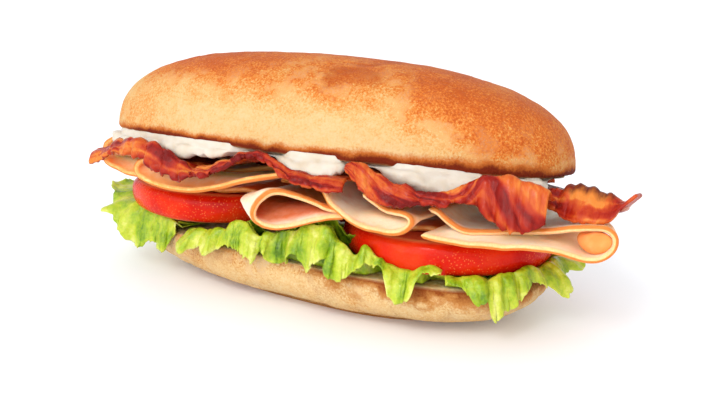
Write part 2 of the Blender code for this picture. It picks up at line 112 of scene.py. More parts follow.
def smooth_curve(points, count):
    """Evenly spaced points along a smooth curve through the given ones."""
    points = np.array(points, float)
    ends = np.vstack([2 * points[0] - points[1], points, 2 * points[-1] - points[-2]])
    t = np.linspace(0, 1, 24, endpoint=False)[:, None]
    fine = np.vstack([bend(*ends[k:k + 4], t) for k in range(len(ends) - 3)] + [points[-1:]])
    run = lengths(fine)
    stops = np.linspace(0, run[-1], count)
    return np.stack([np.interp(stops, run, fine[:, k]) for k in range(fine.shape[1])], axis=1)


def superellipse(half, square, angle):
    """A point or points on a rounded outline, in plan."""
    x = half[0] * power(np.cos(angle), 2 / square)
    y = half[1] * power(np.sin(angle), 2 / square)
    return x, y


def turned(x, y, angle, centre):
    c, s = math.cos(angle), math.sin(angle)
    return centre[0] + c * x - s * y, centre[1] + s * x + c * y


def bed_height(y):
    """The lower bread's cut face."""
    return BASE_HEIGHT + BED_SLOPE * (y - FRONT_Y)


def crown_cut_height(x, y):
    """The upper bread's cut face."""
    c, s = math.cos(CROWN_TURN), math.sin(CROWN_TURN)
    local_y = -s * (x - CROWN_CENTRE[0]) + c * (y - CROWN_CENTRE[1])
    return CROWN_CUT_Z - CROWN_OPEN * local_y


def fanned(points):
    """Moves points of the straight stack to where the opened bread holds them."""
    x, y, z = points[..., 0], points[..., 1], points[..., 2]
    room = crown_cut_height(x, y) - bed_height(y)
    lifted = bed_height(y) + (z - STACK_FLOOR) * room / (STACK_ROOF - STACK_FLOOR)
    return np.stack([x, y, lifted], axis=-1)


def spread(stops, at):
    """Values at the given places, running smoothly between stops. A stop is a place and its value."""
    places, values = np.array(stops, float).T
    index = np.clip(np.searchsorted(places, at, side="right") - 1, 0, len(places) - 2)
    t = smoothstep(places[index], places[index + 1], at)
    return values[index] * (1 - t) + values[index + 1] * t


def lattice(ix, iy, iz, seed):
    """A steady value from -1 to 1 for each whole point."""
    mixed = (ix * 73856093) ^ (iy * 19349663) ^ (iz * 83492791) ^ (seed * 265443576)
    mixed = (mixed ^ (mixed >> 13)) * 1274126177 & 0xFFFFFFFF
    mixed = (mixed ^ (mixed >> 15)) * 2246822519 & 0xFFFFFFFF
    mixed = mixed ^ (mixed >> 16)
    return (mixed & 0xFFFF) / 32767.5 - 1


def bumps(points, size, seed):
    """Smooth unevenness from about -1 to 1 whose features are size across."""
    scaled = np.asarray(points, float) / size
    cell = np.floor(scaled).astype(np.int64)
    part = scaled - cell
    part = part**3 * (part * (part * 6 - 15) + 10)
    total = 0
    for corner in np.ndindex(2, 2, 2):
        weight = 1
        for axis, step in enumerate(corner):
            weight = weight * (part[..., axis] if step else 1 - part[..., axis])
        total = total + weight * lattice(*(cell[..., axis] + step for axis, step in enumerate(corner)), seed)
    return total


def cloud(points, size, seed, octaves=3, keep=0.5):
    """Bumps of several sizes, each half as large as the one before."""
    total = sum(keep**k * bumps(points, size / 2**k, seed + 17 * k) for k in range(octaves))
    return total / sum(keep**k for k in range(octaves))


def line(values, y, z):
    """Points along a line, to take a cloud's values from."""
    values = np.asarray(values, float)
    return np.stack([values, values * 0 + y, values * 0 + z], axis=-1)


def along(values, size, seed, octaves=3):
    """Unevenness along a line."""
    return cloud(line(values, 3.7, 9.1), size, seed, octaves)


def ridges(points, size, seed, octaves=2):
    """Sharp creases from about -1 to 1, for wrinkles and torn edges."""
    return 1 - 4 * np.abs(cloud(points, size, seed, octaves))


def torn(values, size, seed):
    """Sharp teeth along a line, from about -1 to 1."""
    return np.clip(ridges(line(values, 5.3, 2.2), size, seed), -1, 1)


def unit(vectors):
    """The same directions, each 1 long."""
    return vectors / np.maximum(np.linalg.norm(vectors, axis=-1, keepdims=True), 1e-9)


def facing(grid):
    """Where a grid of points faces, at each of them."""
    return unit(np.cross(np.gradient(grid, axis=0), np.gradient(grid, axis=1)))


# Materials. Colours are written as they look, from 0 to 255. LIT is the share of a look that the surface
# itself gives back, as the lamps here light it a little over white.
LIT = 0.76


def paint(colour, lit):
    """A colour as it looks in the photograph's light, turned into the shader's linear value."""
    straight = [(c / 255) / 12.92 if c <= 10 else ((c / 255 + 0.055) / 1.055) ** 2.4 for c in colour]
    return (*(lit * c for c in straight), 1)


class Finish:
    """A Principled material and short names for the nodes that feed it."""

    def __init__(self, name, lit=LIT, **sockets):
        self.lit = lit
        self.made = bpy.data.materials.new(name)
        self.made.use_nodes = True
        self.tree = self.made.node_tree
        self.shader = self.tree.nodes["Principled BSDF"]
        for socket, value in sockets.items():
            self.shader.inputs[socket.replace("_", " ")].default_value = value
        self.place = self.tree.nodes.new("ShaderNodeTexCoord").outputs["Object"]

    def feed(self, socket, source):
        """Links an output to a socket, or sets a plain value on it."""
        if isinstance(source, bpy.types.NodeSocket):
            self.tree.links.new(source, socket)
        else:
            socket.default_value = source

    def attribute(self, name, output="Fac"):
        node = self.tree.nodes.new("ShaderNodeAttribute")
        node.attribute_name = name
        return node.outputs[output]

    def noise(self, size, detail=3, stretch=(1, 1, 1), where=None, roughness=0.55, unit=MM):
        """Noise whose features are size across, drawn out along an axis where stretch is over 1."""
        mapping = self.tree.nodes.new("ShaderNodeMapping")
        mapping.inputs["Scale"].default_value = [1 / s for s in stretch]
        self.tree.links.new(where or self.place, mapping.inputs["Vector"])
        node = self.tree.nodes.new("ShaderNodeTexNoise")
        for socket, number in (("Scale", 1 / (size * unit)), ("Detail", detail), ("Roughness", roughness)):
            node.inputs[socket].default_value = number
        self.tree.links.new(mapping.outputs["Vector"], node.inputs["Vector"])
        return node.outputs["Fac"]

    def cells(self, size):
        """How far the nearest of many scattered points is."""
        node = self.tree.nodes.new("ShaderNodeTexVoronoi")
        node.inputs["Scale"].default_value = 1 / (size * MM)
        self.tree.links.new(self.place, node.inputs["Vector"])
        return node.outputs["Distance"]

    def sum(self, operation, first, second, limit=False):
        node = self.tree.nodes.new("ShaderNodeMath")
        node.operation = operation
        node.use_clamp = limit
        self.feed(node.inputs[0], first)
        self.feed(node.inputs[1], second)
        return node.outputs["Value"]

    def times(self, first, *others):
        for other in others:
            first = self.sum("MULTIPLY", first, other)
        return first

    def stir(self, value, *noises, limit=False):
        """A value made uneven by noises, each given with its weight. limit keeps the sum from 0 to 1."""
        for place, (noise, weight) in enumerate(noises, 1):
            swing = self.times(self.sum("SUBTRACT", noise, 0.5), weight)
            value = self.sum("ADD", value, swing, limit and place == len(noises))
        return value

    def window(self, value, low, high, start=0, end=1):
        """Takes low..high to start..end smoothly."""
        node = self.tree.nodes.new("ShaderNodeMapRange")
        node.interpolation_type = "SMOOTHSTEP"
        for socket, number in (("From Min", low), ("From Max", high), ("To Min", start), ("To Max", end)):
            node.inputs[socket].default_value = number
        self.feed(node.inputs["Value"], value)
        return node.outputs["Result"]

    def ramp(self, value, stops):
        """Colours along a value. A stop is a place from 0 to 1 and a colour."""
        node = self.tree.nodes.new("ShaderNodeValToRGB")
        band = node.color_ramp
        for _ in range(len(stops) - 2):
            band.elements.new(0.5)
        for element, (place, colour) in zip(band.elements, stops):
            element.position = place
            element.color = paint(colour, self.lit)
        self.feed(node.inputs["Fac"], value)
        return node.outputs["Color"]

    def mix(self, share, first, second):
        node = self.tree.nodes.new("ShaderNodeMix")
        node.data_type = "RGBA"
        self.feed(node.inputs[0], share)
        colours = [socket for socket in node.inputs if socket.type == "RGBA"]
        for socket, source in zip(colours, (first, second)):
            self.feed(socket, paint(source, self.lit) if isinstance(source, tuple) else source)
        return next(socket for socket in node.outputs if socket.type == "RGBA")

    def relief(self, height, distance, strength=1, under=None):
        """A bump of the given height in millimetres."""
        node = self.tree.nodes.new("ShaderNodeBump")
        node.inputs["Distance"].default_value = distance * MM
        node.inputs["Strength"].default_value = strength
        self.feed(node.inputs["Height"], height)
        if under is not None:
            self.tree.links.new(under, node.inputs["Normal"])
        return node.outputs["Normal"]

    def finish(self, colour, roughness, normal):
        self.feed(self.shader.inputs["Base Color"], colour)
        self.feed(self.shader.inputs["Roughness"], roughness)
        self.tree.links.new(normal, self.shader.inputs["Normal"])
        return self.made


def crust_finish(name, stops, dusty, toasted, cut_stops):
    """Baked crust. bake runs from pale to dark, toast marks the singed cut edge, pit darkens it along its
    creases and at dark spots, and cut marks the crumb."""
    look = Finish(name, lit=0.705, Specular_IOR_Level=0.08, Subsurface_Weight=0.05, Subsurface_Scale=0.003,
                  Subsurface_Radius=(1, 0.45, 0.2))
    broad, middle, fine = look.noise(10, 4), look.noise(3.4), look.noise(0.8, 4, roughness=0.76)
    bake, specks = look.attribute("bake"), look.cells(1.1)
    level = look.stir(bake, (broad, 0.4), (middle, 0.42), (fine, look.window(bake, 0.05, 0.55, 1, 2.5)),
                      limit=True)
    dust = look.times(look.window(look.noise(7), 0.48, 0.62), look.window(fine, 0.42, 0.58),
                      look.window(bake, 0.16, 0.45), look.window(bake, 0.95, 0.62), 0.66)
    colour = look.mix(dust, look.ramp(level, stops), dusty)
    colour = look.mix(look.times(look.window(specks, 0.3, 0.14), 0.2), colour, dusty)
    spot = look.stir(look.attribute("pit"), (fine, 0.9))
    colour = look.mix(look.window(spot, 0.15, 1.1, 0, 0.75), colour, toasted[2])
    singe = look.stir(look.attribute("toast"), (middle, 0.35), (fine, 0.75))
    colour = look.mix(look.window(singe, 0.02, 0.75), colour, toasted[0])
    colour = look.mix(look.window(singe, 0.55, 1.15), colour, toasted[1])
    colour = look.mix(look.attribute("cut"), colour, look.ramp(look.stir(middle, (broad, 0.6)), cut_stops))
    grain = look.relief(specks, 0.2, 0.6, look.relief(fine, 0.5, 1))
    return look.finish(colour, look.window(level, 0, 1, 0.75, 0.52), look.relief(middle, 0.55, 0.7, grain))


def mayonnaise_finish():
    look = Finish("mayonnaise_cream", lit=0.62, Subsurface_Weight=0.35, Subsurface_Scale=0.003,
                  Subsurface_Radius=(1, 0.75, 0.5), Coat_Weight=0.05, Coat_Roughness=0.25,
                  Specular_IOR_Level=0.25)
    soft, small, fine = look.noise(6, 2), look.noise(1.8), look.noise(0.7, 2)
    colour = look.ramp(soft, [(0.25, (240, 222, 196)), (0.5, (248, 235, 216)), (0.8, (252, 244, 230))])
    colour = look.mix(look.times(look.window(look.cells(4.5), 0.07, 0.03), 0.35), colour, (232, 206, 166))
    normal = look.relief(small, 0.4, 0.6, look.relief(fine, 0.1, 0.5))
    return look.finish(colour, look.window(small, 0.3, 0.7, 0.36, 0.5), normal)


def tomato_finish():
    """face is 1 on a slice's cut faces, rim on the pale line round them, flesh away from the seeds, and the
    mask of painted glints where small highlights dot the skin."""
    look = Finish("tomato_flesh", lit=0.7, Subsurface_Weight=0.1, Subsurface_Scale=0.002, Coat_Weight=0.1,
                  Subsurface_Radius=(1, 0.25, 0.12), Coat_Roughness=0.12, Specular_IOR_Level=0.06)
    broad, fine, cells, face = look.noise(15, 2), look.noise(1), look.cells(0.95), look.attribute("face")
    skin = look.ramp(broad, [(0.3, (206, 20, 4)), (0.5, (230, 38, 8)), (0.72, (240, 66, 20))])
    # Painted highlights: small pale orange dots on the skin stand for glints.
    glints = look.times(look.window(cells, 0.34, 0.14), look.attribute("speckle"), 0.75)
    skin = look.mix(glints, skin, (250, 120, 60))
    flesh = look.ramp(look.attribute("flesh"), [(0, (190, 34, 16)), (0.45, (210, 50, 26)),
                                                (0.7, (226, 74, 44)), (1, (236, 100, 66))])
    colour = look.mix(look.attribute("rim"), look.mix(face, skin, flesh), (246, 160, 96))
    matt = look.sum("ADD", look.window(fine, 0.3, 0.7, 0.2, 0.34), look.times(face, 0.4))
    return look.finish(colour, matt, look.relief(fine, 0.12, 0.45, look.relief(cells, 0.1, 0.45)))


def turkey_finish():
    """rim is 1 on a slice's cut edge and falls to 0 on its face; skin marks the brown line along it, tan is
    how browned the face is, and painted shade is 1 far inside a fold, where it browns the face as shade."""
    look = Finish("turkey_slice", lit=0.98, Subsurface_Weight=0.6, Subsurface_Scale=0.006, Coat_Weight=0.02,
                  Subsurface_Radius=(1, 0.55, 0.32), Coat_Roughness=0.25, Specular_IOR_Level=0.05)
    broad, middle, fine = look.noise(12), look.noise(2.6), look.noise(0.8)
    colour = look.ramp(broad, [(0.28, (255, 213, 176)), (0.5, (255, 225, 195)), (0.75, (255, 235, 213))])
    colour = look.mix(look.times(look.window(middle, 0.5, 0.72), 0.35), colour, (254, 210, 164))
    browned = look.ramp(look.stir(middle, (fine, 0.5)),
                        [(0.22, (226, 146, 78)), (0.5, (238, 170, 104)), (0.78, (248, 198, 138))])
    # The second of these, the brown mixed in far inside a fold, is painted shade.
    for name, weight, window, over in (("tan", 0.4, (0.1, 1), (252, 162, 88)),
                                       ("deep", 0.3, (0.1, 1), (218, 112, 58)),
                                       ("rim", 0.35, (0.05, 1), browned),
                                       ("skin", 0.8, (0.2, 1.1, 0, 0.85), (196, 104, 36))):
        share = look.stir(look.attribute(name), (middle, weight))
        colour = look.mix(look.window(share, *window), colour, over)
    bump = look.relief(fine, 0.08, 0.6, look.relief(middle, 0.3, 0.5))
    return look.finish(colour, look.window(middle, 0.3, 0.7, 0.36, 0.52), bump)


def bacon_finish():
    """strip is (along, across) in millimetres, fat shifts the meat towards its amber fat and burn chars
    it."""
    look = Finish("bacon_crisp", lit=0.66, Subsurface_Weight=0.08, Subsurface_Scale=0.0015, Coat_Weight=0.08,
                  Subsurface_Radius=(1, 0.3, 0.12), Coat_Roughness=0.12, Specular_IOR_Level=0.12)
    strip = look.attribute("strip", "Vector")
    bands = look.noise(2.8, 2, (8, 1, 1), strip, unit=1)
    threads = look.noise(0.7, 3, (4, 1, 1), strip, unit=1)
    lumps = look.noise(1.7, 4, where=strip, unit=1)
    value = look.stir(look.window(bands, 0.38, 0.62, 0, 0.78), (threads, 0.45))
    value = look.stir(look.sum("ADD", value, look.attribute("fat")), (lumps, 0.55), limit=True)
    colour = look.ramp(value, [(0, (128, 14, 8)), (0.22, (164, 28, 14)), (0.42, (188, 46, 22)),
                               (0.62, (208, 72, 28)), (0.82, (224, 100, 38)), (1, (242, 142, 58))])
    char = look.stir(look.attribute("burn"), (lumps, 0.7))
    colour = look.mix(look.window(char, 0.34, 0.95), colour, (104, 24, 8))
    bump = look.relief(lumps, 0.7, 0.8, look.relief(threads, 0.26, 0.8))
    return look.finish(colour, look.window(lumps, 0.3, 0.7, 0.2, 0.42), bump)


def lettuce_finish():
    """vein and tone come from the leaf's shape: vein is its pale ribs, and tone is painted light and shade,
    lighter on its ridges and edges and darker in its dips, its inner leaves and where it lies under the
    filling.
    """
    look = Finish("lettuce_leaf", Subsurface_Weight=0.2, Subsurface_Scale=0.002, Coat_Weight=0.22,
                  Subsurface_Radius=(0.6, 1, 0.15), Coat_Roughness=0.16, Specular_IOR_Level=0.2)
    broad, middle, fine, vein = look.noise(8), look.noise(2), look.noise(0.7, 2), look.attribute("vein")
    level = look.stir(look.attribute("tone"), (broad, 0.75), (middle, 0.45), (fine, 0.25), limit=True)
    colour = look.ramp(level, [(0, (56, 96, 8)), (0.25, (112, 152, 14)), (0.5, (162, 190, 28)),
                               (0.75, (200, 212, 56)), (1, (230, 234, 124))])
    colour = look.mix(look.times(vein, 0.6), colour, (226, 232, 146))
    bump = look.relief(middle, 0.8, 0.7, look.relief(look.cells(2.2), 0.4, 0.5))
    bump = look.relief(vein, 0.4, 0.6, look.relief(fine, 0.15, 0.6, bump))
    return look.finish(colour, look.window(middle, 0.3, 0.7, 0.28, 0.44), bump)


# Meshes.


def placed(name, data):
    """A new object in the scene."""
    made = bpy.data.objects.new(name, data)
    bpy.context.scene.collection.objects.link(made)
    return made


def piece(name, node, slot, points, faces, finish, **attributes):
    """One visible piece, from points in millimetres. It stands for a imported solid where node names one."""
    points = np.asarray(points, float).reshape(-1, 3)
    mesh = bpy.data.meshes.new(name)
    mesh.from_pydata((points * MM).tolist(), [], faces)
    for title, values in attributes.items():
        values = np.asarray(values, np.float32)
        kind, key = ("FLOAT_VECTOR", "vector") if values.size == len(points) * 3 else ("FLOAT", "value")
        mesh.attributes.new(title, kind, "POINT").data.foreach_set(key, values.ravel())
    mesh.materials.append(finish)
    mesh.shade_smooth()
    made = placed(name, mesh)
    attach(made, "root")
    if node:
        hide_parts(node)


def normals_of(grid):
    """Where a grid of rings faces, at each of its points."""
    across = (np.roll(grid, -1, axis=1) - np.roll(grid, 1, axis=1)) / 2
    return unit(np.cross(across, np.gradient(grid, axis=0)))


def ring_piece(name, node, slot, grid, finish, turn=1, place=np.asarray, **attributes):
    """One piece from a grid of rings, closed by the middle of its first and last ring. turn is -1 where the
    rings run the other way round, and place moves its points last."""
    rows, columns = grid.shape[:2]
    ring = [(j, (j + 1) % columns) for j in range(columns)]
    faces = [(i + a, i + b, i + b + columns, i + a + columns)
             for i in range(0, (rows - 1) * columns, columns) for a, b in ring]
    first, top = rows * columns, (rows - 1) * columns
    for a, b in ring:
        faces += [(first, b, a), (first + 1, top + a, top + b)]
    points = np.concatenate([grid.reshape(-1, 3), grid[0].mean(axis=0)[None], grid[-1].mean(axis=0)[None]])
    values = {title: np.concatenate([value.ravel(), [value[0].mean(), value[-1].mean()]])
              for title, value in attributes.items()}
    piece(name, node, slot, place(points), [face[::turn] for face in faces], finish, **values)


def sheet(middle, thickness):
    """Points and faces of a closed thin body: a grid of points with its own thickness at each."""
    rows, columns = middle.shape[:2]
    half = facing(middle) * thickness[..., None] / 2
    count = rows * columns
    faces = []
    for i in range(rows - 1):
        for j in range(columns - 1):
            a, b = i * columns + j, i * columns + j + 1
            c, d = b + columns, a + columns
            faces += [(a, d, c, b), (a + count, b + count, c + count, d + count)]
    rim = ([(0, j) for j in range(columns - 1)] + [(i, columns - 1) for i in range(rows - 1)]
           + [(rows - 1, j) for j in range(columns - 1, 0, -1)] + [(i, 0) for i in range(rows - 1, 0, -1)])
    ring = [i * columns + j for i, j in rim]
    faces += [(a, b, b + count, a + count) for a, b in zip(ring, ring[1:] + ring[:1])]
    return np.concatenate([(middle + half).reshape(-1, 3), (middle - half).reshape(-1, 3)]), faces


def rounded(distance, radius, least=0.18):
    """How much of its thickness a sheet keeps at a distance from its edge."""
    t = np.clip(distance / radius, 0, 1)
    return least + (1 - least) * np.sqrt(np.maximum(0, 1 - (1 - t) ** 2))


def merged(parts):
    """One set of points, faces and attributes from several."""
    points, faces, values, start = [], [], {}, 0
    for part_points, part_faces, part_values in parts:
        points.append(part_points)
        faces += [tuple(i + start for i in face) for face in part_faces]
        start += len(part_points)
        for title, value in part_values.items():
            values.setdefault(title, []).append(value)
    return np.concatenate(points), faces, {title: np.concatenate(value) for title, value in values.items()}


def both(values):
    """Values of a grid, for both faces of its sheet."""
    return np.concatenate([values.ravel(), values.ravel()])


# How far up its side the upper bread stays pale, along X, as a share of its height.
CROWN_PALE = [(-90, 0.78), (-76, 0.72), (-58, 0.64), (-30, 0.6), (0, 0.58), (25, 0.54), (45, 0.42),
              (60, 0.26), (75, 0.1), (90, 0)]


def upper_bread():
    """A long dome with a wrinkled golden top, pale sides and a singed cut edge."""
    columns, levels = 400, 76
    angle = np.linspace(0, math.tau, columns, endpoint=False)
    out_x, out_y = superellipse(CROWN_HALF, CROWN_SQUARE, angle)
    plan = np.stack([out_x, out_y, out_x * 0], axis=1)
    ragged = 0.35 * cloud(plan, 6, 21) + 0.25 * cloud(plan, 2, 22)
    droop = 1.2 * smoothstep(-38, -4, out_x) * smoothstep(0, -0.4, np.sin(angle))
    lean = math.atan(CROWN_OPEN)
    rings, shares, cuts = [], [], []

    def ring(scale, share, cut=0, drop=0):
        x, y = out_x * scale, out_y * scale
        u = x / CROWN_HALF[0]
        height = CROWN_HEIGHT * (1 - 0.015 * u - 0.065 * u * u)
        hung = smoothstep(0.3, 0, share) * smoothstep(0.94, 0.99, scale + share)
        rise = height * share + drop - droop * hung
        c, s = math.cos(lean), math.sin(lean)
        plan_x, plan_y = turned(x, y * c + rise * s, CROWN_TURN, CROWN_CENTRE)
        rings.append(np.stack([plan_x, plan_y, CROWN_CUT_Z - y * s + rise * c], axis=1))
        shares.append(np.full(columns, share))
        cuts.append(np.full(columns, cut))

    for scale in np.linspace(0.04, 0.965, 14):
        ring(scale, 0, 1)
    ring(0.98, 0, 0.8, 0.2 * ragged)
    ring(0.99, 0.006, 0.3, 0.6 * ragged)
    ring(0.996, 0.018, 0, 0.8 * ragged)
    ring(0.999, 0.035, 0, 0.8 * ragged)
    for step in range(1, levels):
        tilt = step / levels * math.pi / 2
        fade = max(0, 1 - step / 10)
        ring(math.cos(tilt) ** (2 / CROWN_DOME), math.sin(tilt) ** (2 / CROWN_DOME), 0, fade * ragged)
    ring(0.02, 1)
    grid, share, cut = np.stack(rings), np.stack(shares), np.stack(cuts)
    outward = normals_of(grid)
    baked = smoothstep(0.25, 0.9, share)
    dents = 0.5 * cloud(grid, 34, 31, 2) * smoothstep(0, 0.3, share)
    wrinkle = np.clip(ridges(grid * [1, 1.6, 1], 15, 33, 3), 0, 1) ** 2
    wrinkle = wrinkle * smoothstep(0.1, 0.45, cloud(grid, 24, 35, 2) + 0.25) * baked
    blister = np.clip(cloud(grid, 7, 37, 2), 0, 1) * baked
    skin = (0.09 * cloud(grid, 2.6, 39, 2) + 0.05 * cloud(grid, 1.1, 40, 1)) * (1 - cut)
    crumb = 0.55 * cloud(grid, 3, 41, 2) * cut
    lift = dents - 0.3 * wrinkle + 0.28 * blister + skin + crumb
    grid = grid + outward * (lift * (1 - 0.6 * cut))[..., None]
    level = spread(CROWN_PALE, grid[..., 0])
    tone = share + 0.17 * cloud(grid, 17, 51) + 0.06 * cloud(grid, 6, 53, 2) - level
    bake = 0.1 + 0.68 * smoothstep(-0.3, 0.26, tone) + 0.12 * smoothstep(0.2, 0.5, tone)
    bake = bake + baked * (0.22 * cloud(grid, 16, 52) + 0.1 * smoothstep(0.3, 0.9, wrinkle))
    bake = bake + 0.3 * smoothstep(-38, -66, grid[..., 0]) * smoothstep(0.8, 0.2, share)
    bake = bake + 0.16 * smoothstep(-10, -46, grid[..., 0]) * smoothstep(0.6, 0.9, share)
    uneven = along(np.degrees(angle) * 1.9, 30, 61, 2)
    toast_height = 0.11 + 0.036 * smoothstep(-38, -4, out_x) + 0.06 * uneven
    toast = 1.6 - 1.6 * share / np.maximum(toast_height, 0.02)[None] + 0.3 * cloud(grid, 5, 62, 2)
    toast = np.clip(toast, 0, 1.45) * (1 - 0.5 * cut)
    toast = toast * (0.35 + 0.65 * smoothstep(-86, -56, grid[..., 0])) * smoothstep(0.26, 0.1, share)
    spots = smoothstep(0.12, 0.5, cloud(grid * [1, 1.3, 1], 13, 55)) * smoothstep(0.5, 0.8, share)
    pit = np.clip(0.45 * wrinkle + 0.85 * spots * baked, 0, 1)
    finish = crust_finish("bread_crown_crust",
                          [(0, (246, 208, 152)), (0.18, (244, 198, 132)), (0.4, (242, 174, 98)),
                           (0.6, (240, 148, 66)), (0.8, (236, 126, 50)), (1, (212, 98, 36))],
                          (252, 206, 142), ((214, 116, 46), (128, 42, 16), (198, 92, 34)),
                          [(0.3, (226, 176, 106)), (0.5, (242, 212, 150)), (0.7, (250, 232, 188))])
    ring_piece("bread_crown", "bread_top", "bread_golden", grid, finish,
               bake=bake, toast=toast, cut=cut, pit=pit)


def lower_bread():
    """A shallow boat of pale crust, browned where it was toasted at its cut edge and where it stood."""
    columns, levels = 360, 30
    angle = np.linspace(0, math.tau, columns, endpoint=False)
    out_x, out_y = superellipse(BASE_HALF, BASE_SQUARE, angle)
    plan = np.stack([out_x, out_y, out_x * 0], axis=1)
    ragged = 0.4 * cloud(plan, 7, 71) + 0.2 * cloud(plan, 2, 72)
    rings, depths, cuts = [], [], []

    def ring(scale, depth, cut=0, drop=0):
        x, y = turned(out_x * scale, out_y * scale, BASE_TURN, BASE_CENTRE)
        rings.append(np.stack([x, y, bed_height(y) * (1 - depth) + drop], axis=1))
        depths.append(np.full(columns, depth))
        cuts.append(np.full(columns, cut))

    for scale in np.linspace(0.03, BASE_FLAT, 8):
        ring(scale, 1)
    for step in range(1, levels):
        scale = BASE_FLAT + (1 - BASE_FLAT) * math.sin(step / levels * math.pi / 2)
        ring(scale, max(0.16, (1 - scale**3) ** (1 / 3)))
    for depth in (0.14, 0.11, 0.08, 0.05):
        ring(1 - 0.12 * (0.14 - depth), depth, 0, 0.5 * ragged)
    ring(0.985, 0.02, 0.2, 0.7 * ragged)
    ring(0.975, 0, 0.7, 0.7 * ragged)
    for scale in np.linspace(0.96, 0.04, 16):
        ring(scale, 0, 1)
    grid, depth, cut = np.stack(rings), np.stack(depths), np.stack(cuts)
    outward = normals_of(grid)
    free = smoothstep(0.99, 0.8, depth) * (1 - cut)
    flake = smoothstep(0.08, 0.3, cloud(grid * [1, 1, 1.6], 13, 83)) * smoothstep(0.5, 0.3, depth)
    flake = flake * smoothstep(20, 34, grid[..., 0]) * smoothstep(88, 60, grid[..., 0])
    lift = free * (0.55 * cloud(grid, 26, 73, 2) + 0.34 * cloud(grid, 8, 74, 2) + 0.14 * cloud(grid, 2.2, 75))
    creases = np.clip(ridges(grid * [1, 1, 0.5], 18, 77, 3), 0, 1) ** 2
    lift = lift - 0.4 * creases * free + 0.7 * flake * free + 0.35 * cloud(grid, 3, 76, 2) * cut
    grid = grid + outward * lift[..., None]
    grid[..., 2] = np.maximum(grid[..., 2], 0)
    base = smoothstep(0.7, 0.97, depth + 0.06 * cloud(grid, 9, 78))
    bake = 0.28 + 0.44 * base - 0.12 * flake + 0.26 * cloud(grid, 14, 79)
    bake = bake + 0.22 * smoothstep(0.4, 0.02, depth)
    patches = smoothstep(-0.05, 0.3, cloud(grid * [1, 1, 0.6], 10, 80)) * smoothstep(0.5, 0.1, depth)
    patches = patches * (0.35 + 0.65 * smoothstep(8, 24, grid[..., 0])) * (1 - flake)
    lip = smoothstep(0.24, 0.05, depth + 0.05 * cloud(grid, 5, 84, 2)) * smoothstep(4, 16, grid[..., 0])
    patches = np.maximum(patches, 0.8 * lip * (1 - cut))
    peeled = 4 * flake * (1 - flake)
    toast = 0.5 * smoothstep(0.09, 0, depth) + (0.95 * patches + 0.45 * peeled) * (1 - cut)
    toast = toast + 0.55 * smoothstep(0.88, 0.99, depth)
    pit = np.clip(0.45 * creases * free, 0, 1)
    finish = crust_finish("bread_heel_crust",
                          [(0, (255, 226, 172)), (0.25, (250, 208, 146)), (0.5, (240, 184, 114)),
                           (0.72, (222, 148, 78)), (0.9, (196, 110, 48)), (1, (160, 80, 32))],
                          (252, 226, 184), ((216, 144, 74), (160, 76, 28), (170, 90, 40)),
                          [(0.3, (222, 170, 104)), (0.5, (240, 208, 150)), (0.7, (250, 230, 186))])
    ring_piece("bread_heel", "bread_bottom", "bread_pale", grid, finish, -1,
               bake=bake, toast=toast, cut=cut, pit=pit)


def mayonnaise():
    """A layer under the upper bread whose thick blobs hang out at the front."""
    even = np.linspace(0, math.tau, 1441)
    fill = np.cumsum(1 + 3 * smoothstep(0.1, -0.4, np.sin(even)))
    columns = 620
    angle = np.interp(np.linspace(fill[0], fill[-1], columns, endpoint=False), fill, even)
    out_x, out_y = superellipse(CROWN_HALF, CROWN_SQUARE, angle)
    front = smoothstep(-0.15, -0.5, np.sin(angle))
    back = smoothstep(0.2, 0.6, np.sin(angle))
    drop = front * (spread(MAYO_FRONT, out_x) + spread(MAYO_HANG, out_x)) + back * spread(MAYO_BACK, out_x)
    bulge = front * spread(MAYO_BULGE, out_x)
    inset = MAYO_INSET * (1 - smoothstep(0.2, 2.4 + 2.2 * smoothstep(-20, 0, out_x), drop))
    drop = drop + smoothstep(0.6, 2.4, drop) * (1 * along(out_x, 6, 95) + 0.3 * torn(out_x, 3.4, 96))
    profile = [(0.3, 0, 0), (0.5, 0, 0), (0.7, 0, 0), (0.8, 0.3, 0), (0.86, 0.6, 0),
               (0.91, 0.88, 0.1), (0.96, 1, 0.3), (0.985, 1.05, 0.6), (1, 0.96, 0.92), (1.004, 0.78, 1.05),
               (1.003, 0.55, 0.88), (0.998, 0.3, 0.58), (0.988, 0.08, 0.24), (0.976, None, 0),
               (0.94, None, 0), (0.85, None, 0), (0.7, None, 0), (0.4, None, 0)]
    rows = smooth_curve([(s, r or 0, float(r is None), o) for s, r, o in profile], 56)
    rings = []
    for scale, share, roof, outward in rows:
        reach = scale - (inset - outward * (0.6 + bulge)) / np.hypot(out_x, out_y)
        x, y = turned(out_x * reach, out_y * reach, CROWN_TURN, CROWN_CENTRE)
        hanging = MAYO_FLOOR - share * drop
        top = MAYO_ROOF + MAYO_PRESS * front
        rings.append(np.stack([x, y, hanging * (1 - roof) + top * roof], axis=1))
    grid = np.stack(rings)
    loose = smoothstep(0.3, 3, MAYO_ROOF - grid[..., 2]) * smoothstep(0.7, 0.9, rows[:, :1])
    lumps = 1.5 * cloud(grid, 8, 91, 2) + 0.6 * cloud(grid, 3.8, 92, 1) + 0.1 * cloud(grid, 1.5, 93, 2)
    grid = fanned(grid)
    grid = grid + normals_of(grid) * ((0.4 + lumps) * loose)[..., None]
    ring_piece("mayonnaise_layer", "mayonnaise", "mayonnaise", grid, mayonnaise_finish(), -1)


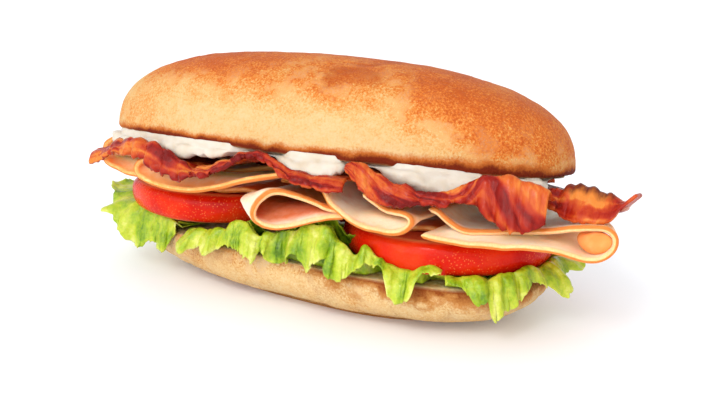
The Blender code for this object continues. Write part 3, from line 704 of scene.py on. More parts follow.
def tomato_slice(name, centre, floor, finish):
    """A thick slice: glossy skin round its side, flesh with seed chambers on its faces."""
    columns = 260
    angle = np.linspace(0, math.tau, columns, endpoint=False)
    lobes = 1 + 0.012 * np.sin(5 * angle + centre[0]) + 0.008 * np.sin(3 * angle + 1)
    outline = [(0, 0.03), (0, 0.35), (0, 0.7), (0, 0.88), (0, 0.925), (0.01, 0.94), (0.045, 0.955),
               (0.12, 0.975), (0.27, 0.992), (0.42, 1), (0.56, 1), (0.68, 0.996), (0.8, 0.985), (0.9, 0.966),
               (0.965, 0.94), (0.992, 0.922), (1, 0.905), (1, 0.86), (1, 0.7), (1, 0.35), (1, 0.03)]
    rows = smooth_curve(outline, 72)
    rings, faces_share = [], []
    for share, scale in rows:
        radius = TOMATO_RADIUS * scale * lobes
        rings.append(np.stack([centre[0] + radius * np.cos(angle), centre[1] + radius * np.sin(angle),
                               np.full(columns, floor + share * TOMATO_THICK)], axis=1))
        flat = smoothstep(0.03, 0, min(share, 1 - share))
        faces_share.append(np.full(columns, flat))
    grid, face = np.stack(rings), np.stack(faces_share)
    radius = np.hypot(grid[..., 0] - centre[0], grid[..., 1] - centre[1]) / TOMATO_RADIUS
    chambers = smoothstep(0.15, 0.75, np.cos(angle * 6 + 0.8 * along(np.degrees(angle), 60, 101))[None])
    jelly = chambers * smoothstep(0.82, 0.72, radius) * smoothstep(0.18, 0.34, radius)
    lift = 0.25 * cloud(grid, 14, 103, 2) + 0.05 * cloud(grid, 2, 104, 2) - 0.7 * jelly * face
    rim = face * smoothstep(0.86, 0.93, radius) * smoothstep(1, 0.95, radius)
    # Where the skin gets its painted glints, more of them towards the right.
    speckle = smoothstep(0.05, 0.45, cloud(grid, 22, 105, 2) + 0.1 + 0.012 * (grid[..., 0] - centre[0]))
    grid = grid + normals_of(grid) * lift[..., None]
    flesh = np.clip(1 - jelly + 0.15 * cloud(grid, 3, 106, 2), 0, 1)
    ring_piece(name + "_slice", name, "tomato", grid, finish, -1, fanned, face=face, rim=rim,
               speckle=speckle * (1 - face), flesh=flesh)


def softened(values, reach):
    """The running mean of values over reach places on each side."""
    width = 2 * reach + 1
    return np.convolve(np.pad(values, reach, mode="edge"), np.full(width, 1 / width), "valid")


def turkey_slice(name, finish, section, front, rear, inner, skew=NONE, pinch=None, slump=None,
                 tan=(0, [(0, 0), (1, 0)]), shade_span=(1, 12, 0.7), plain=((0, 0), (1, 0)), seed=1):
    """A folded slice of roast turkey. inner is 1 when the fold closes over its upper side, -1 for its lower.

    section is its line across the front, in X and Z, and front and rear its two Y by share of that line. skew
    is how far it leans to the left behind its rim, along X. pinch is (Z, share kept) as in the part's source.
    slump is (Z, share kept, X where it starts, X where it is full, and where it ends and starts to end): the
    two sheets of a fold settle towards that height behind their rims. tan is how browned the slice is near
    its rim and on its outer face. The next argument places the painted shade inside a fold: where, behind the
    rim, it starts to darken the inside, where it is darkest and how dark. plain runs along the section and is
    how little the rim is browned.
    """
    columns = 160
    curve, share = smooth_curve(section, columns), np.linspace(0, 1, columns)
    run = lengths(curve)
    near = spread(front, share) + 0.55 * along(run, 9, seed) + 0.22 * along(run, 2.6, seed + 1)
    far = softened(spread(rear, share), 7) + 0.8 * along(run, 9, seed + 6)
    depth = np.concatenate([[0, 0.25, 0.55, 0.9, 1.3, 1.8, 2.4], np.linspace(3.1, 20, 17)])
    reach = (far - near)[:, None]
    lanes = np.minimum(depth[None] / reach, 0.9 * np.linspace(0, 1, len(depth))[None] ** 1.5 + 0.02)
    last = lanes[:, -1:]
    lanes = np.concatenate([lanes, last + (1 - last) * np.linspace(0, 1, 9)[None, 1:]], axis=1)
    behind = reach * lanes
    x, z = (np.repeat(curve[:, k:k + 1], behind.shape[1], axis=1) for k in (0, 1))
    x = x - spread(skew, x) * np.minimum(behind, SKEW_RUN)
    middle = np.stack([x, near[:, None] + behind, z], axis=2)
    slack = 0.34 * cloud(middle, 11, seed + 2, 2) + 0.12 * cloud(middle, 3.2, seed + 3, 2)
    middle = middle + facing(middle) * slack[..., None]
    ends = np.minimum(run, run[-1] - run)[:, None]
    edge = np.minimum(np.minimum(behind, reach - behind), ends)
    keep = rounded(edge, TURKEY_THICK * 0.55)
    points, faces = sheet(middle, TURKEY_THICK * keep * (0.94 + 0.1 * cloud(middle, 6, seed + 4, 2)))

    def settle(level, kept, closing):
        points[:, 2] = level + (points[:, 2] - level) * (1 - (1 - kept) * closing)

    if pinch:
        settle(*pinch, smoothstep(PINCH_START, PINCH_RUN, both(behind)))
    if slump:
        level, kept, none, full, *fade = slump
        closing = smoothstep(0.5, 9, both(behind)) * smoothstep(none, full, points[:, 0])
        settle(level, kept, closing * (smoothstep(*fade, points[:, 0]) if fade else 1))
    rim = smoothstep(3, 0.1, edge / (1 + 0.35 * along(run, 7, seed + 5)[:, None]))
    side = np.repeat([1, -1], behind.size)
    inside, outside = side == inner, side != inner
    # Painted shade: behind the rim, the inside of a fold is coloured darker, as if in shade.
    deep = shade_span[2] * smoothstep(shade_span[0], shade_span[1], both(behind)) * inside
    tanned, hidden = (both(spread(stops, share)[:, None] + 0 * edge) for stops in (tan[1], plain))
    browned = np.maximum(tan[0] * smoothstep(12, 0, both(edge)), tanned * outside)
    skin = smoothstep(2.4, 0.3, both(edge)) * outside * (1 - hidden)
    piece(name + "_slice", name if name in TURKEY else None, "turkey", fanned(points), faces, finish,
          deep=deep, tan=browned, skin=skin, rim=both(rim) * (1 - 0.3 * inside) * (1 - hidden))


def turkey_curl(finish):
    """The rolled end of a slice that fills the right-hand fold."""
    columns = 64
    angle = np.linspace(0, math.tau, columns, endpoint=False)
    rings, rims = [], []
    for depth, radius in smooth_curve(CURL_PROFILE, 40):
        wobble = radius * (1 + 0.1 * np.sin(2 * angle + 0.15 * depth))
        ring = [CURL_STRETCH * wobble * np.cos(angle) - CURL_LEAN * depth, depth + 0 * angle,
                wobble * np.sin(angle)]
        rings.append(np.stack(ring, axis=1) + CURL_CENTRE)
        rims.append(np.full(columns, 0.25 * smoothstep(2.4, 4, radius)))
    grid, rim = np.stack(rings), np.stack(rims)
    grid = grid + normals_of(grid) * (0.3 * cloud(grid, 4, 271, 2))[..., None]
    # The curl lies inside the fold and carries that fold's painted shade evenly.
    ring_piece("turkey_right_curl", None, "turkey", grid, finish, 1, fanned, rim=rim, deep=0.48 + 0 * rim,
               skin=0 * rim, tan=0.9 + 0.1 * smoothstep(-2.5, 2.5, grid[..., 0] - CURL_CENTRE[0]))


def bacon_strip(name, finish, stations, side=-1, fat=NONE, burn=NONE, steep=NONE, fine=ALL, belly=NONE,
                seed=1):
    """A crisp strip that hangs to the front, or to the back where side is 1.

    A station is its X, the height of its crest and of its free edge, that edge's Y, the height it has inside,
    the Y where it ends, and how far its crest lies behind its edge. fat, burn, steep, fine and belly run
    along X: how fatty the meat is, how charred its edges are, how its streaks lean, how closely they lie, and
    how much fattier it is in the middle of its front.
    """
    columns = 240 if name in BACON else 150
    path = smooth_curve(stations, columns)
    x, top, low, lip, inner, rear, lean = path.T
    run = lengths(path[:, [0, 1, 3]])
    ends = np.minimum(run, run[-1] - run)
    calm = 0.25 + 0.75 * smoothstep(0, 14, ends)
    teeth = torn(run, 3.4, seed + 1) * (1 - 0.6 * smoothstep(92, 97, x))
    ragged = low + calm * (0.5 * along(run, 4.2, seed) - 0.85 * teeth)
    low = low + 0.35 * calm * along(run, 9, seed)
    top = top + calm * (0.35 * along(run, 5, seed + 2) + 0.9 * spread(burn, x) * torn(run, 4.6, seed + 10))
    lip = lip + 0.5 * along(run, 5.5, seed + 3)
    crest = lip + lean
    lanes = [(lip, ragged), (lip + 0.3 * lean + 0.5 * side, 0.3 * top + 0.7 * low),
             (crest, top - BACON_THICK / 3), (crest - 4.2 * side, 0.1 * top + 0.9 * inner), (rear, inner)]
    sparse = np.stack([np.stack([x, y, z], axis=1) for y, z in lanes], axis=1)
    knots = np.concatenate([[0], np.cumsum(np.linalg.norm(np.diff(sparse, axis=1), axis=2).mean(axis=0))])
    share = np.concatenate([np.linspace(0, 3, 22), np.linspace(3, 4, 8)[1:]])
    cell = np.minimum(share.astype(int), 3)
    padded = np.concatenate([2 * sparse[:, :1] - sparse[:, 1:2], sparse,
                             2 * sparse[:, -1:] - sparse[:, -2:-1]], axis=1)
    middle = bend(*(padded[:, cell + k] for k in range(4)), (share - cell)[None, :, None])
    across = np.interp(share, range(5), knots)[None] + 0 * x[:, None]
    free = smoothstep(knots[-1] * 0.9, 2, across)
    phase = run[:, None] * math.tau / 8.5 + 2.4 * along(run, 14, seed + 4)[:, None]
    ripple = free * (0.42 * np.sin(phase + 0.12 * across) + 0.45 * cloud(middle, 4.6, seed + 5, 2)
                     + 0.24 * ridges(middle, 3.4, seed + 6))
    frill = np.sin(run[:, None] * math.tau / 4.7 + 3 * along(run, 8, seed + 9)[:, None])
    ripple = ripple + 0.75 * frill * smoothstep(3.2, 0, across)
    ripple = ripple * (calm * (1 - 0.9 * smoothstep(90, 97, x)))[:, None]
    middle = middle + facing(middle) * ripple[..., None]
    edge = np.minimum(np.minimum(across, across[0, -1] - across), ends[:, None])
    thickness = BACON_THICK * (0.58 + 0.25 * cloud(middle, 3.6, seed + 7, 2)) * rounded(edge, 0.9)
    shear = np.concatenate([[0], np.cumsum(np.diff(run) * spread(steep, x)[1:])])
    char = smoothstep(3.6, 0.6, np.abs(across - knots[2])) + 0.2 * smoothstep(1.8, 0, across)
    char = spread(burn, x)[:, None] * char + 0.3 * smoothstep(0.8, 0, across)
    strip = np.stack([run[:, None] + 0 * across, spread(fine, x)[:, None] * (across + shear[:, None]),
                      0 * across + seed], axis=2)
    fatty = spread(fat, x)[:, None] + 0.12 * cloud(middle, 9, seed + 8, 2)
    fatty = fatty + spread(belly, x)[:, None] * (1 - 2.4 * np.abs(across / knots[2] - 0.55))
    if side > 0:
        middle, thickness, strip, char, fatty = (v[:, ::-1] for v in (middle, thickness, strip, char, fatty))
    points, faces = sheet(middle, thickness)
    piece(name + "_strip", None if name in INNER_BACON else name, "bacon", fanned(points), faces, finish,
          strip=np.concatenate([strip.reshape(-1, 3)] * 2), burn=both(char), fat=both(fatty))


def base_outline(count=2880, near=12):
    """The lower bread's outline, anticlockwise from its right: points, outward normals, share of its run."""
    angle = np.linspace(0, math.tau, count, endpoint=False)
    x, y = turned(*superellipse(BASE_HALF, BASE_SQUARE, angle), BASE_TURN, BASE_CENTRE)
    points = np.stack([x, y], axis=1)
    run = lengths(np.vstack([points, points[:1]]))
    tangent = unit(np.roll(points, -near, axis=0) - np.roll(points, near, axis=0))
    normal = np.stack([tangent[:, 1], -tangent[:, 0]], axis=1)
    return points, normal, run[:-1] / run[-1], run[-1]


def leaf_sheet(middle, rim, tone, vein):
    """A leaf's sheet with its attributes. rim is how far each point is from its edge."""
    points, faces = sheet(middle, LEAF_THICK * rounded(rim, 0.8, 0.3))
    return points, faces, {"vein": both(vein), "tone": both(tone)}


def threaded(guides, at):
    """The point at a place along smooth curves through guide points, one curve for each column."""
    k, last = min(int(at), len(guides) - 2), len(guides) - 1
    return bend(guides[max(k - 1, 0)], guides[k], guides[k + 1], guides[min(k + 2, last)], at - k)


def frilled(middle, distance, grow, seed, frill):
    """Ruffles a grid of points: folds of several sizes, the finer the nearer its edge, and blistered skin."""
    sweep = 15 * along(distance, 20, seed + 50, 2)[:, None]
    lift, slide = 0, 0
    for k, (pitch, height, onset) in enumerate(FRILL_WAVES):
        drift = 3.2 * along(distance, 1.7 * pitch, seed + 3 * k)[:, None]
        drift = drift + 1.5 * cloud(middle, 1.1 * pitch, seed + 40 + k, 2)
        phase = (distance[:, None] + sweep * grow) * math.tau / pitch + drift
        uneven = 0.75 + 0.9 * along(distance, 2.2 * pitch, seed + 3 * k + 1)[:, None]
        swell = frill * height * grow**onset * uneven
        lift = lift + swell * np.sin(phase)
        slide = slide + 0.5 * swell * np.sin(2 * phase)
    blister = 0.45 * cloud(middle, 4.2, seed + 30, 2) + 0.3 * ridges(middle, 6, seed + 31, 2)
    lift = lift + blister * (0.3 + 0.7 * grow)
    edgewise = unit(np.gradient(middle, axis=0))
    return middle + facing(middle) * lift[..., None] + edgewise * slide[..., None], lift


def lettuce_leaf(name, finish, level, edge_stops, crest, seed, step=LEAF_STEP):
    """A leaf that lies on the lower bread, rises out of it and hangs over its edge in folds.

    level is its height on the bread. edge_stops run along the bread's outline: share of its run, the free
    edge's height and distance out, and its shift along the outline where there is one. crest is the height at
    which the leaf turns over, by share.
    """
    outline, normal, run, total = base_outline()
    stops = np.array([(*stop, 0)[:4] for stop in edge_stops], float)
    share = np.linspace(stops[0, 0], stops[-1, 0], int((stops[-1, 0] - stops[0, 0]) * total / step))
    distance, half = share * total, int(0.9 / step)
    drawn = distance + 1.2 * along(distance, 7, seed, 2)
    tip, reach, lean = (softened(np.interp(drawn, stops[:, 0] * total, stops[:, k]), half) for k in (1, 2, 3))
    crest = softened(np.interp(share, *np.array(crest, float).T), half)
    edge, out = (np.stack([np.interp(share, run, table[:, k], period=1) for k in range(2)], axis=1)
                 for table in (outline, normal))
    side = np.stack([-out[:, 1], out[:, 0]], axis=1)
    teeth = 0.9 * torn(distance, 4.6, seed + 1) + 0.9 * torn(distance, 2.1, seed + 2)
    reach = reach + 1.3 * along(distance, 6.5, seed + 3, 2) + 0.45 * teeth
    tip = tip - 0.45 * teeth
    swelling = reach - softened(reach, int(5 / step))
    inset = 2.5 + 6 * smoothstep(23, 26.5, tip)
    guides = [(-inset, level), (-0.6 * inset, level + 0.45 * (crest - level)), (0.22 * reach, crest),
              (0.72 * reach, crest - 0.4 * (crest - tip)), (reach, tip)]
    guides = np.array([[a + 0 * share, b + 0 * share] for a, b in guides])
    rows, outs = [], []
    for back in np.linspace(1, 0.1, 6):
        inward = inset + back * (LEAF_DEPTH - inset)
        rows.append(np.column_stack([edge - out * inward[:, None], level + 0 * distance]))
        outs.append(-back * LEAF_DEPTH)
    for v in np.linspace(0, 1, LEAF_ROWS):
        outward, z = threaded(guides, v * (len(guides) - 1))
        rows.append(np.column_stack([edge + out * outward[:, None] + side * (lean * v**1.5)[:, None], z]))
        outs.append(v * LEAF_HANG)
    middle, outs = np.stack(rows, axis=1), np.array(outs)
    grow = np.clip((outs + 1) / (LEAF_HANG + 1), 0, 1)[None]
    middle, lift = frilled(middle, distance, grow, seed + 20, 1)
    ends = np.minimum(distance - distance[0], distance[-1] - distance)[:, None]
    rim = np.minimum((LEAF_HANG - outs)[None] + 0 * distance[:, None], ends)
    fan = distance[:, None] / 11 + 0.5 * along(distance, 9, seed + 5, 2)[:, None] + 0.02 * outs[None]
    offset = fan - np.round(fan)
    rib = smoothstep(0.07, 0, np.abs(offset)) * smoothstep(12, 2, outs)[None]
    branch = np.abs((outs[None] * 0.22 - np.abs(offset) * 2.6 + 8) % 1 - 0.5)
    vein = np.maximum(rib, 0.22 * smoothstep(0.09, 0, branch) * (outs > -2)[None])
    # Painted light and shade: lighter on ridges, outreaching folds and edges, darker under the filling.
    tone = 0.57 + 0.15 * lift + 0.09 * np.clip(swelling, -2.2, 1.6)[:, None] * np.sqrt(grow)
    tone = tone - 0.34 * smoothstep(1, -8, outs)[None] + 0.14 * smoothstep(2, 0, rim)
    parts = [leaf_sheet(middle, rim, tone + 0.24 * cloud(middle, 9, seed + 7, 2), 0.6 * vein)]
    steps = np.linspace(0, 1, 15)
    for k, (foot, slant, taller) in enumerate(((8, 7, 0.85), (15, 10, 1.1))):
        stand = seed + 60 * (k + 1)
        height = taller * np.maximum(crest - level - 2, 1.5) * (1.1 + 0.4 * along(distance, 7, stand))
        teeth = torn(distance, 4.2, stand + 1) + 0.6 * torn(distance, 2, stand + 2)
        risen = height + 0.7 * teeth
        middle = np.stack([np.column_stack([edge - out * (foot - slant * w), level + 0.3 + risen * w**1.2])
                           for w in steps], axis=1)
        grow = (0.1 + 0.9 * steps[None] ** 1.2) * np.clip(height / 10, 0.15, 1)[:, None]
        middle, lift = frilled(middle, distance, grow, stand + 3, 1.2)
        rim = np.minimum((1 - steps)[None] * 11 + 0 * distance[:, None], ends)
        # Painted shade: the inner leaves are darker, the second more so, lighter towards their tops and edges.
        tone = 0.34 - 0.2 * k + 0.14 * lift + 0.18 * steps[None] + 0.12 * smoothstep(2, 0, rim)
        parts.append(leaf_sheet(middle, rim, tone + 0.14 * cloud(middle, 12, stand + 4, 2), 0 * tone))
        distance, edge, out, ends, crest = (v[::2] for v in (distance, edge, out, ends, crest))
    points, faces, values = merged(parts)
    piece(name + "_leaf", name, "lettuce", fanned(points), faces, finish, **values)


# Each slice of tomato: its middle in plan, and its underside's height in the straight stack.
TOMATOES = {"tomato_left": ((-48, 5), 27.5), "tomato_right": ((47.5, -2), 24.5)}

TURKEY = {
    "turkey_left": dict(
        section=[(3, 52.2), (-6, 49.9), (-14, 47.6), (-20, 45.4), (-29, 43.2), (-38, 41.9), (-46, 42),
                 (-53, 43), (-59, 44.3), (-61, 46.9), (-59.3, 49.7), (-55, 50.6), (-48, 49), (-40, 47.3),
                 (-30, 47.9), (-20, 49.8), (-10, 51.7), (-4, 52.8)],
        front=[(0, -40), (0.1, -43), (0.45, -40), (0.55, -36), (0.63, -33), (0.72, -20), (1, -14)],
        rear=[(0, 37), (0.3, 41), (0.5, 35), (0.6, 33), (0.85, 36), (1, 33)], inner=-1,
        slump=(49, 0.35, -2, -24), tan=(0.95, [(0, 0.9), (1, 0.9)]), shade_span=(4, 16, 0.1),
        plain=((0, 0), (0.58, 0), (0.66, 0.9), (1, 0.9)), seed=200),
    "turkey_far_left": dict(
        section=[(-55, 52.9), (-61, 53.1), (-69, 53), (-78, 51.6), (-83.2, 48.4), (-82.5, 45),
                 (-76, 43), (-66, 42.4)],
        front=[(0, -33), (0.5, -27), (0.7, -26), (1, -29)],
        rear=[(0, 33), (0.6, 27), (0.7, 25), (1, 30)], inner=1, slump=(47.6, 0.2, 0, -1),
        tan=(0.8, [(0, 0.7), (1, 0.6)]), shade_span=(3, 12, 0.4), seed=210),
    "turkey_tongue": dict(
        section=[(-55, 56.3), (-63, 56.6), (-74, 56.8), (-83, 55.6), (-88.5, 52.6), (-90, 49.6)],
        front=[(0, -18), (0.6, -18.5), (1, -18.5)],
        rear=[(0, 6), (0.6, 7), (1, 1)], inner=1, tan=(0.8, [(0, 0.4), (1, 0.4)]), seed=220),
    "turkey_loop": dict(
        section=[(25.5, 42), (21, 43), (16, 44.6), (10, 46.2), (5, 46.8), (0.5, 45.6), (-3.3, 42.4),
                 (-5.1, 38.8), (-4.4, 36.3), (-1.5, 35), (3.5, 34.7), (9.5, 36), (16, 38.4), (21, 40),
                 (26.5, 40.9)],
        front=[(0, -40), (0.1, -42), (0.3, -45), (0.6, -46), (0.9, -43), (1, -41)],
        rear=[(0, 36), (0.5, 40), (1, 36)], inner=1, skew=[(-200, 0.95), (200, 0.95)], pinch=(41.4, 0.3),
        tan=(0.2, [(0, 1), (0.22, 0.9), (0.36, 0.1), (1, 0)]), shade_span=(-1, 6.5, 0.8), seed=230),
    "turkey_inner": dict(
        section=[(-12, 45.8), (-4, 47.3), (3, 49), (9, 50.6), (12.5, 50.9)],
        front=[(0, -16), (0.5, -24), (1, -35)],
        rear=[(0, 34), (1, 34)], inner=-1, tan=(1, [(0, 1), (1, 1)]), shade_span=(0, 8, 0.8),
        plain=((0, 0.9), (1, 0.5)), seed=240),
    "turkey_middle": dict(
        section=[(15.6, 50.9), (17.8, 49.2), (20.3, 46.9), (25, 43.6), (30, 40.9), (35, 39.4), (40, 38.9),
                 (45, 38.8), (49, 39.9), (51.5, 42.2), (51.4, 44.3), (48.8, 45.4), (45, 45.4), (41, 45.6),
                 (36.5, 47.3), (33, 49.2)],
        front=[(0, -40), (0.2, -44), (0.5, -45.5), (0.75, -44), (1, -40)],
        rear=[(0, 36), (0.5, 40), (1, 36)], inner=1, slump=(43.6, 0.4, 24, 34),
        tan=(0.2, [(0, 0.6), (1, 0.6)]), shade_span=(3, 14, 0.35), seed=250),
    "turkey_right": dict(
        section=[(55, 39.2), (60, 38.5), (67.7, 38), (74, 38.4), (81, 38.9), (87, 39.6), (93, 39.4),
                 (98, 38.8), (103.5, 37.4), (108, 37.4), (111.6, 39.2), (113.4, 42.2), (113, 45.2),
                 (110.6, 47), (106, 47), (100, 45.9), (94, 44.3), (87, 43.2), (80, 42.2), (73, 41.5),
                 (67, 41.6), (62.5, 43.8), (58.8, 46.6), (56, 47.4)],
        front=[(0, -43), (0.2, -42), (0.42, -35), (0.52, -32), (0.7, -33), (1, -40)],
        rear=[(0, 36), (0.2, 30), (0.36, 6), (0.46, -21), (0.54, -20), (0.6, -4), (0.66, 16), (0.76, 30),
              (1, 36)],
        inner=1, skew=((92, 0), (108, 0.35)), slump=(41.8, 0.3, 54, 64, 92, 82),
        tan=(0.12, [(0, 0.9), (0.52, 0.8), (0.6, 0.3), (1, 0.4)]), shade_span=(5, 18, 0.3), seed=260),
}

# A plain slice far inside, which lies on both tomatoes. Its inner side is painted fully in fold shade.
INNER_TURKEY = {
    "turkey_bed": dict(
        section=[(x, 39.9 + 0.5 * math.sin(0.42 * x)) for x in range(-78, -13, 4)]
        + [(-8, 38.6), (0, 37.9), (8, 37.4)]
        + [(x, 36.9 + 0.5 * math.sin(0.42 * x)) for x in range(14, 83, 4)],
        front=[(0, -16), (0.2, -25), (0.4, -16), (0.55, -16), (0.62, -24), (0.8, -25), (1, -14)],
        rear=[(0, 20), (0.2, 30), (0.5, 22), (0.8, 27), (1, 14)],
        inner=1, tan=(1, [(0, 1), (1, 1)]), shade_span=(-1, 0, 1), seed=275),
}

BACON = {
    "bacon_left": dict(
        stations=[(-90.5, 48.8, 43.8, -26, 49.2, -22, 1.5), (-86.5, 50, 44.8, -27, 50.4, -21.5, 1.8),
                  (-82, 51.2, 46.8, -28, 52, -21, 2),
                  (-76, 54.3, 50.2, -31, 55.2, -21, 2), (-69, 56.4, 51.3, -34, 55.9, -21, 2),
                  (-62, 58.2, 51.2, -37, 55.9, -21, 2), (-55, 57.6, 50.8, -39, 55.6, -20, 2.5),
                  (-50, 57.4, 47.8, -41, 54.2, -16, 3), (-43, 55.4, 46.2, -43, 52, -14, 3),
                  (-37, 52.8, 46, -44, 50.6, -14, 3), (-31, 50.8, 47.4, -44.5, 50.4, -14, 2),
                  (-25, 51.4, 48.8, -45, 52, -14, 1.5), (-19, 54.6, 51.2, -44, 53.8, -14, 2),
                  (-13, 57.6, 55, -43, 55.2, -14, 2), (-7, 59.6, 57.2, -43, 55.9, -14, 1.5),
                  (-2, 59, 56.4, -43.5, 55.7, -14, 1.5), (3, 56.8, 53.6, -44.5, 55, -14, 2),
                  (9, 54.6, 51.2, -45, 54.2, -14, 2), (16, 53.9, 50, -45.5, 53.5, -16, 2.5),
                  (22, 53.4, 49, -45, 53.2, -18, 2.5), (27, 53.4, 49.2, -43, 53.2, -20, 2)],
        fat=[(-90, 0.34), (-78, 0.28), (-66, 0.14), (-52, 0.16), (-44, 0), (-30, 0.12), (-20, 0.1),
             (-8, -0.12), (8, -0.06), (24, -0.02)],
        burn=[(-90, 0.1), (-60, 0.35), (-50, 0.3), (-44, 0), (24, 0.1)], seed=300),
    "bacon_middle": dict(
        stations=[(26.5, 58.4, 56.6, -40, 55.6, -30, 1), (29, 59.6, 55, -41.5, 55.9, -22, 2),
                  (33, 59.6, 52.4, -44, 55.6, -18, 3), (37, 58, 49.6, -45, 54, -18, 3.5),
                  (42, 55.8, 48.2, -46, 51.4, -18, 3.5), (48, 54.6, 47.8, -46, 50.2, -18, 3),
                  (54, 53.6, 48.6, -45, 50.2, -18, 2.5), (60, 53.4, 49.2, -43, 49.8, -18, 2),
                  (66, 56, 50.2, -40.5, 50.6, -18, 2), (71, 59, 50.6, -39, 52.8, -19, 2.5),
                  (75.5, 60.2, 47, -39.5, 54.8, -21, 4), (80, 60.6, 44.4, -40.5, 55.6, -24, 5),
                  (84.5, 59.6, 43.2, -40, 55.4, -26, 5), (89, 58.8, 44.6, -38.5, 54.6, -27, 4),
                  (93, 57.6, 46.8, -37, 54, -28, 3)],
        fat=[(26, 0.04), (34, 0.04), (44, -0.08), (56, -0.02), (64, 0.18), (74, 0.15), (82, 0.1), (93, 0.12)],
        burn=[(26, 0), (88, 0), (93, 0.3)], steep=[(26, 0.2), (66, 0.4), (75, 0.6), (93, 0.6)],
        fine=[(26, 1), (64, 0.9), (74, 0.46), (93, 0.46)], seed=320),
    "bacon_right": dict(
        stations=[(66, 52.6, 51.2, -14, 52.2, -2, 1), (76, 55.8, 54.4, -16, 55.4, 2, 1),
                  (86, 55.6, 53, -20, 54.6, 2, 2), (92, 57, 50, -26, 52.4, 0, 5),
                  (97, 59.2, 47.8, -29, 51, -2, 7), (102, 59.6, 47.8, -30.5, 50.6, -3, 8),
                  (107, 58.2, 48.2, -30, 50.8, -4, 8), (110.5, 56.4, 49.4, -28, 51.4, -8, 6),
                  (113.5, 56, 54.2, -26, 54.4, -17, 2), (117, 59.2, 58.2, -24, 58.4, -20, 1)],
        fat=[(66, 0), (88, -0.1), (95, 0), (101, 0.34), (107, 0.3), (112, 0.25), (117, 0.3)],
        burn=[(66, 0), (90, 0.4), (97, 0.85), (108, 0.8), (113, 0.2), (117, 0)],
        belly=[(66, 0), (92, 0.2), (99, 0.55), (107, 0.5), (112, 0), (117, 0)],
        seed=340),
}

# Even waves: a seed, and what wavy_stations takes. Two strips along the back, then three inside: two behind
# those that show, and one that hangs between the tomatoes.
REAR_BACON = {
    "bacon_rear_left": (360, (-62, 11.5, 43, 2)),
    "bacon_rear_right": (380, (26, 74, 41, 2)),
}
INNER_BACON = {
    "bacon_inner_left": (400, (-62, 8, -2, 3)),
    "bacon_inner_right": (410, (14, 68, 0, 3)),
    "bacon_inner_low": (420, (-14, 14, 5, 1, 36.4, 28.6)),
}

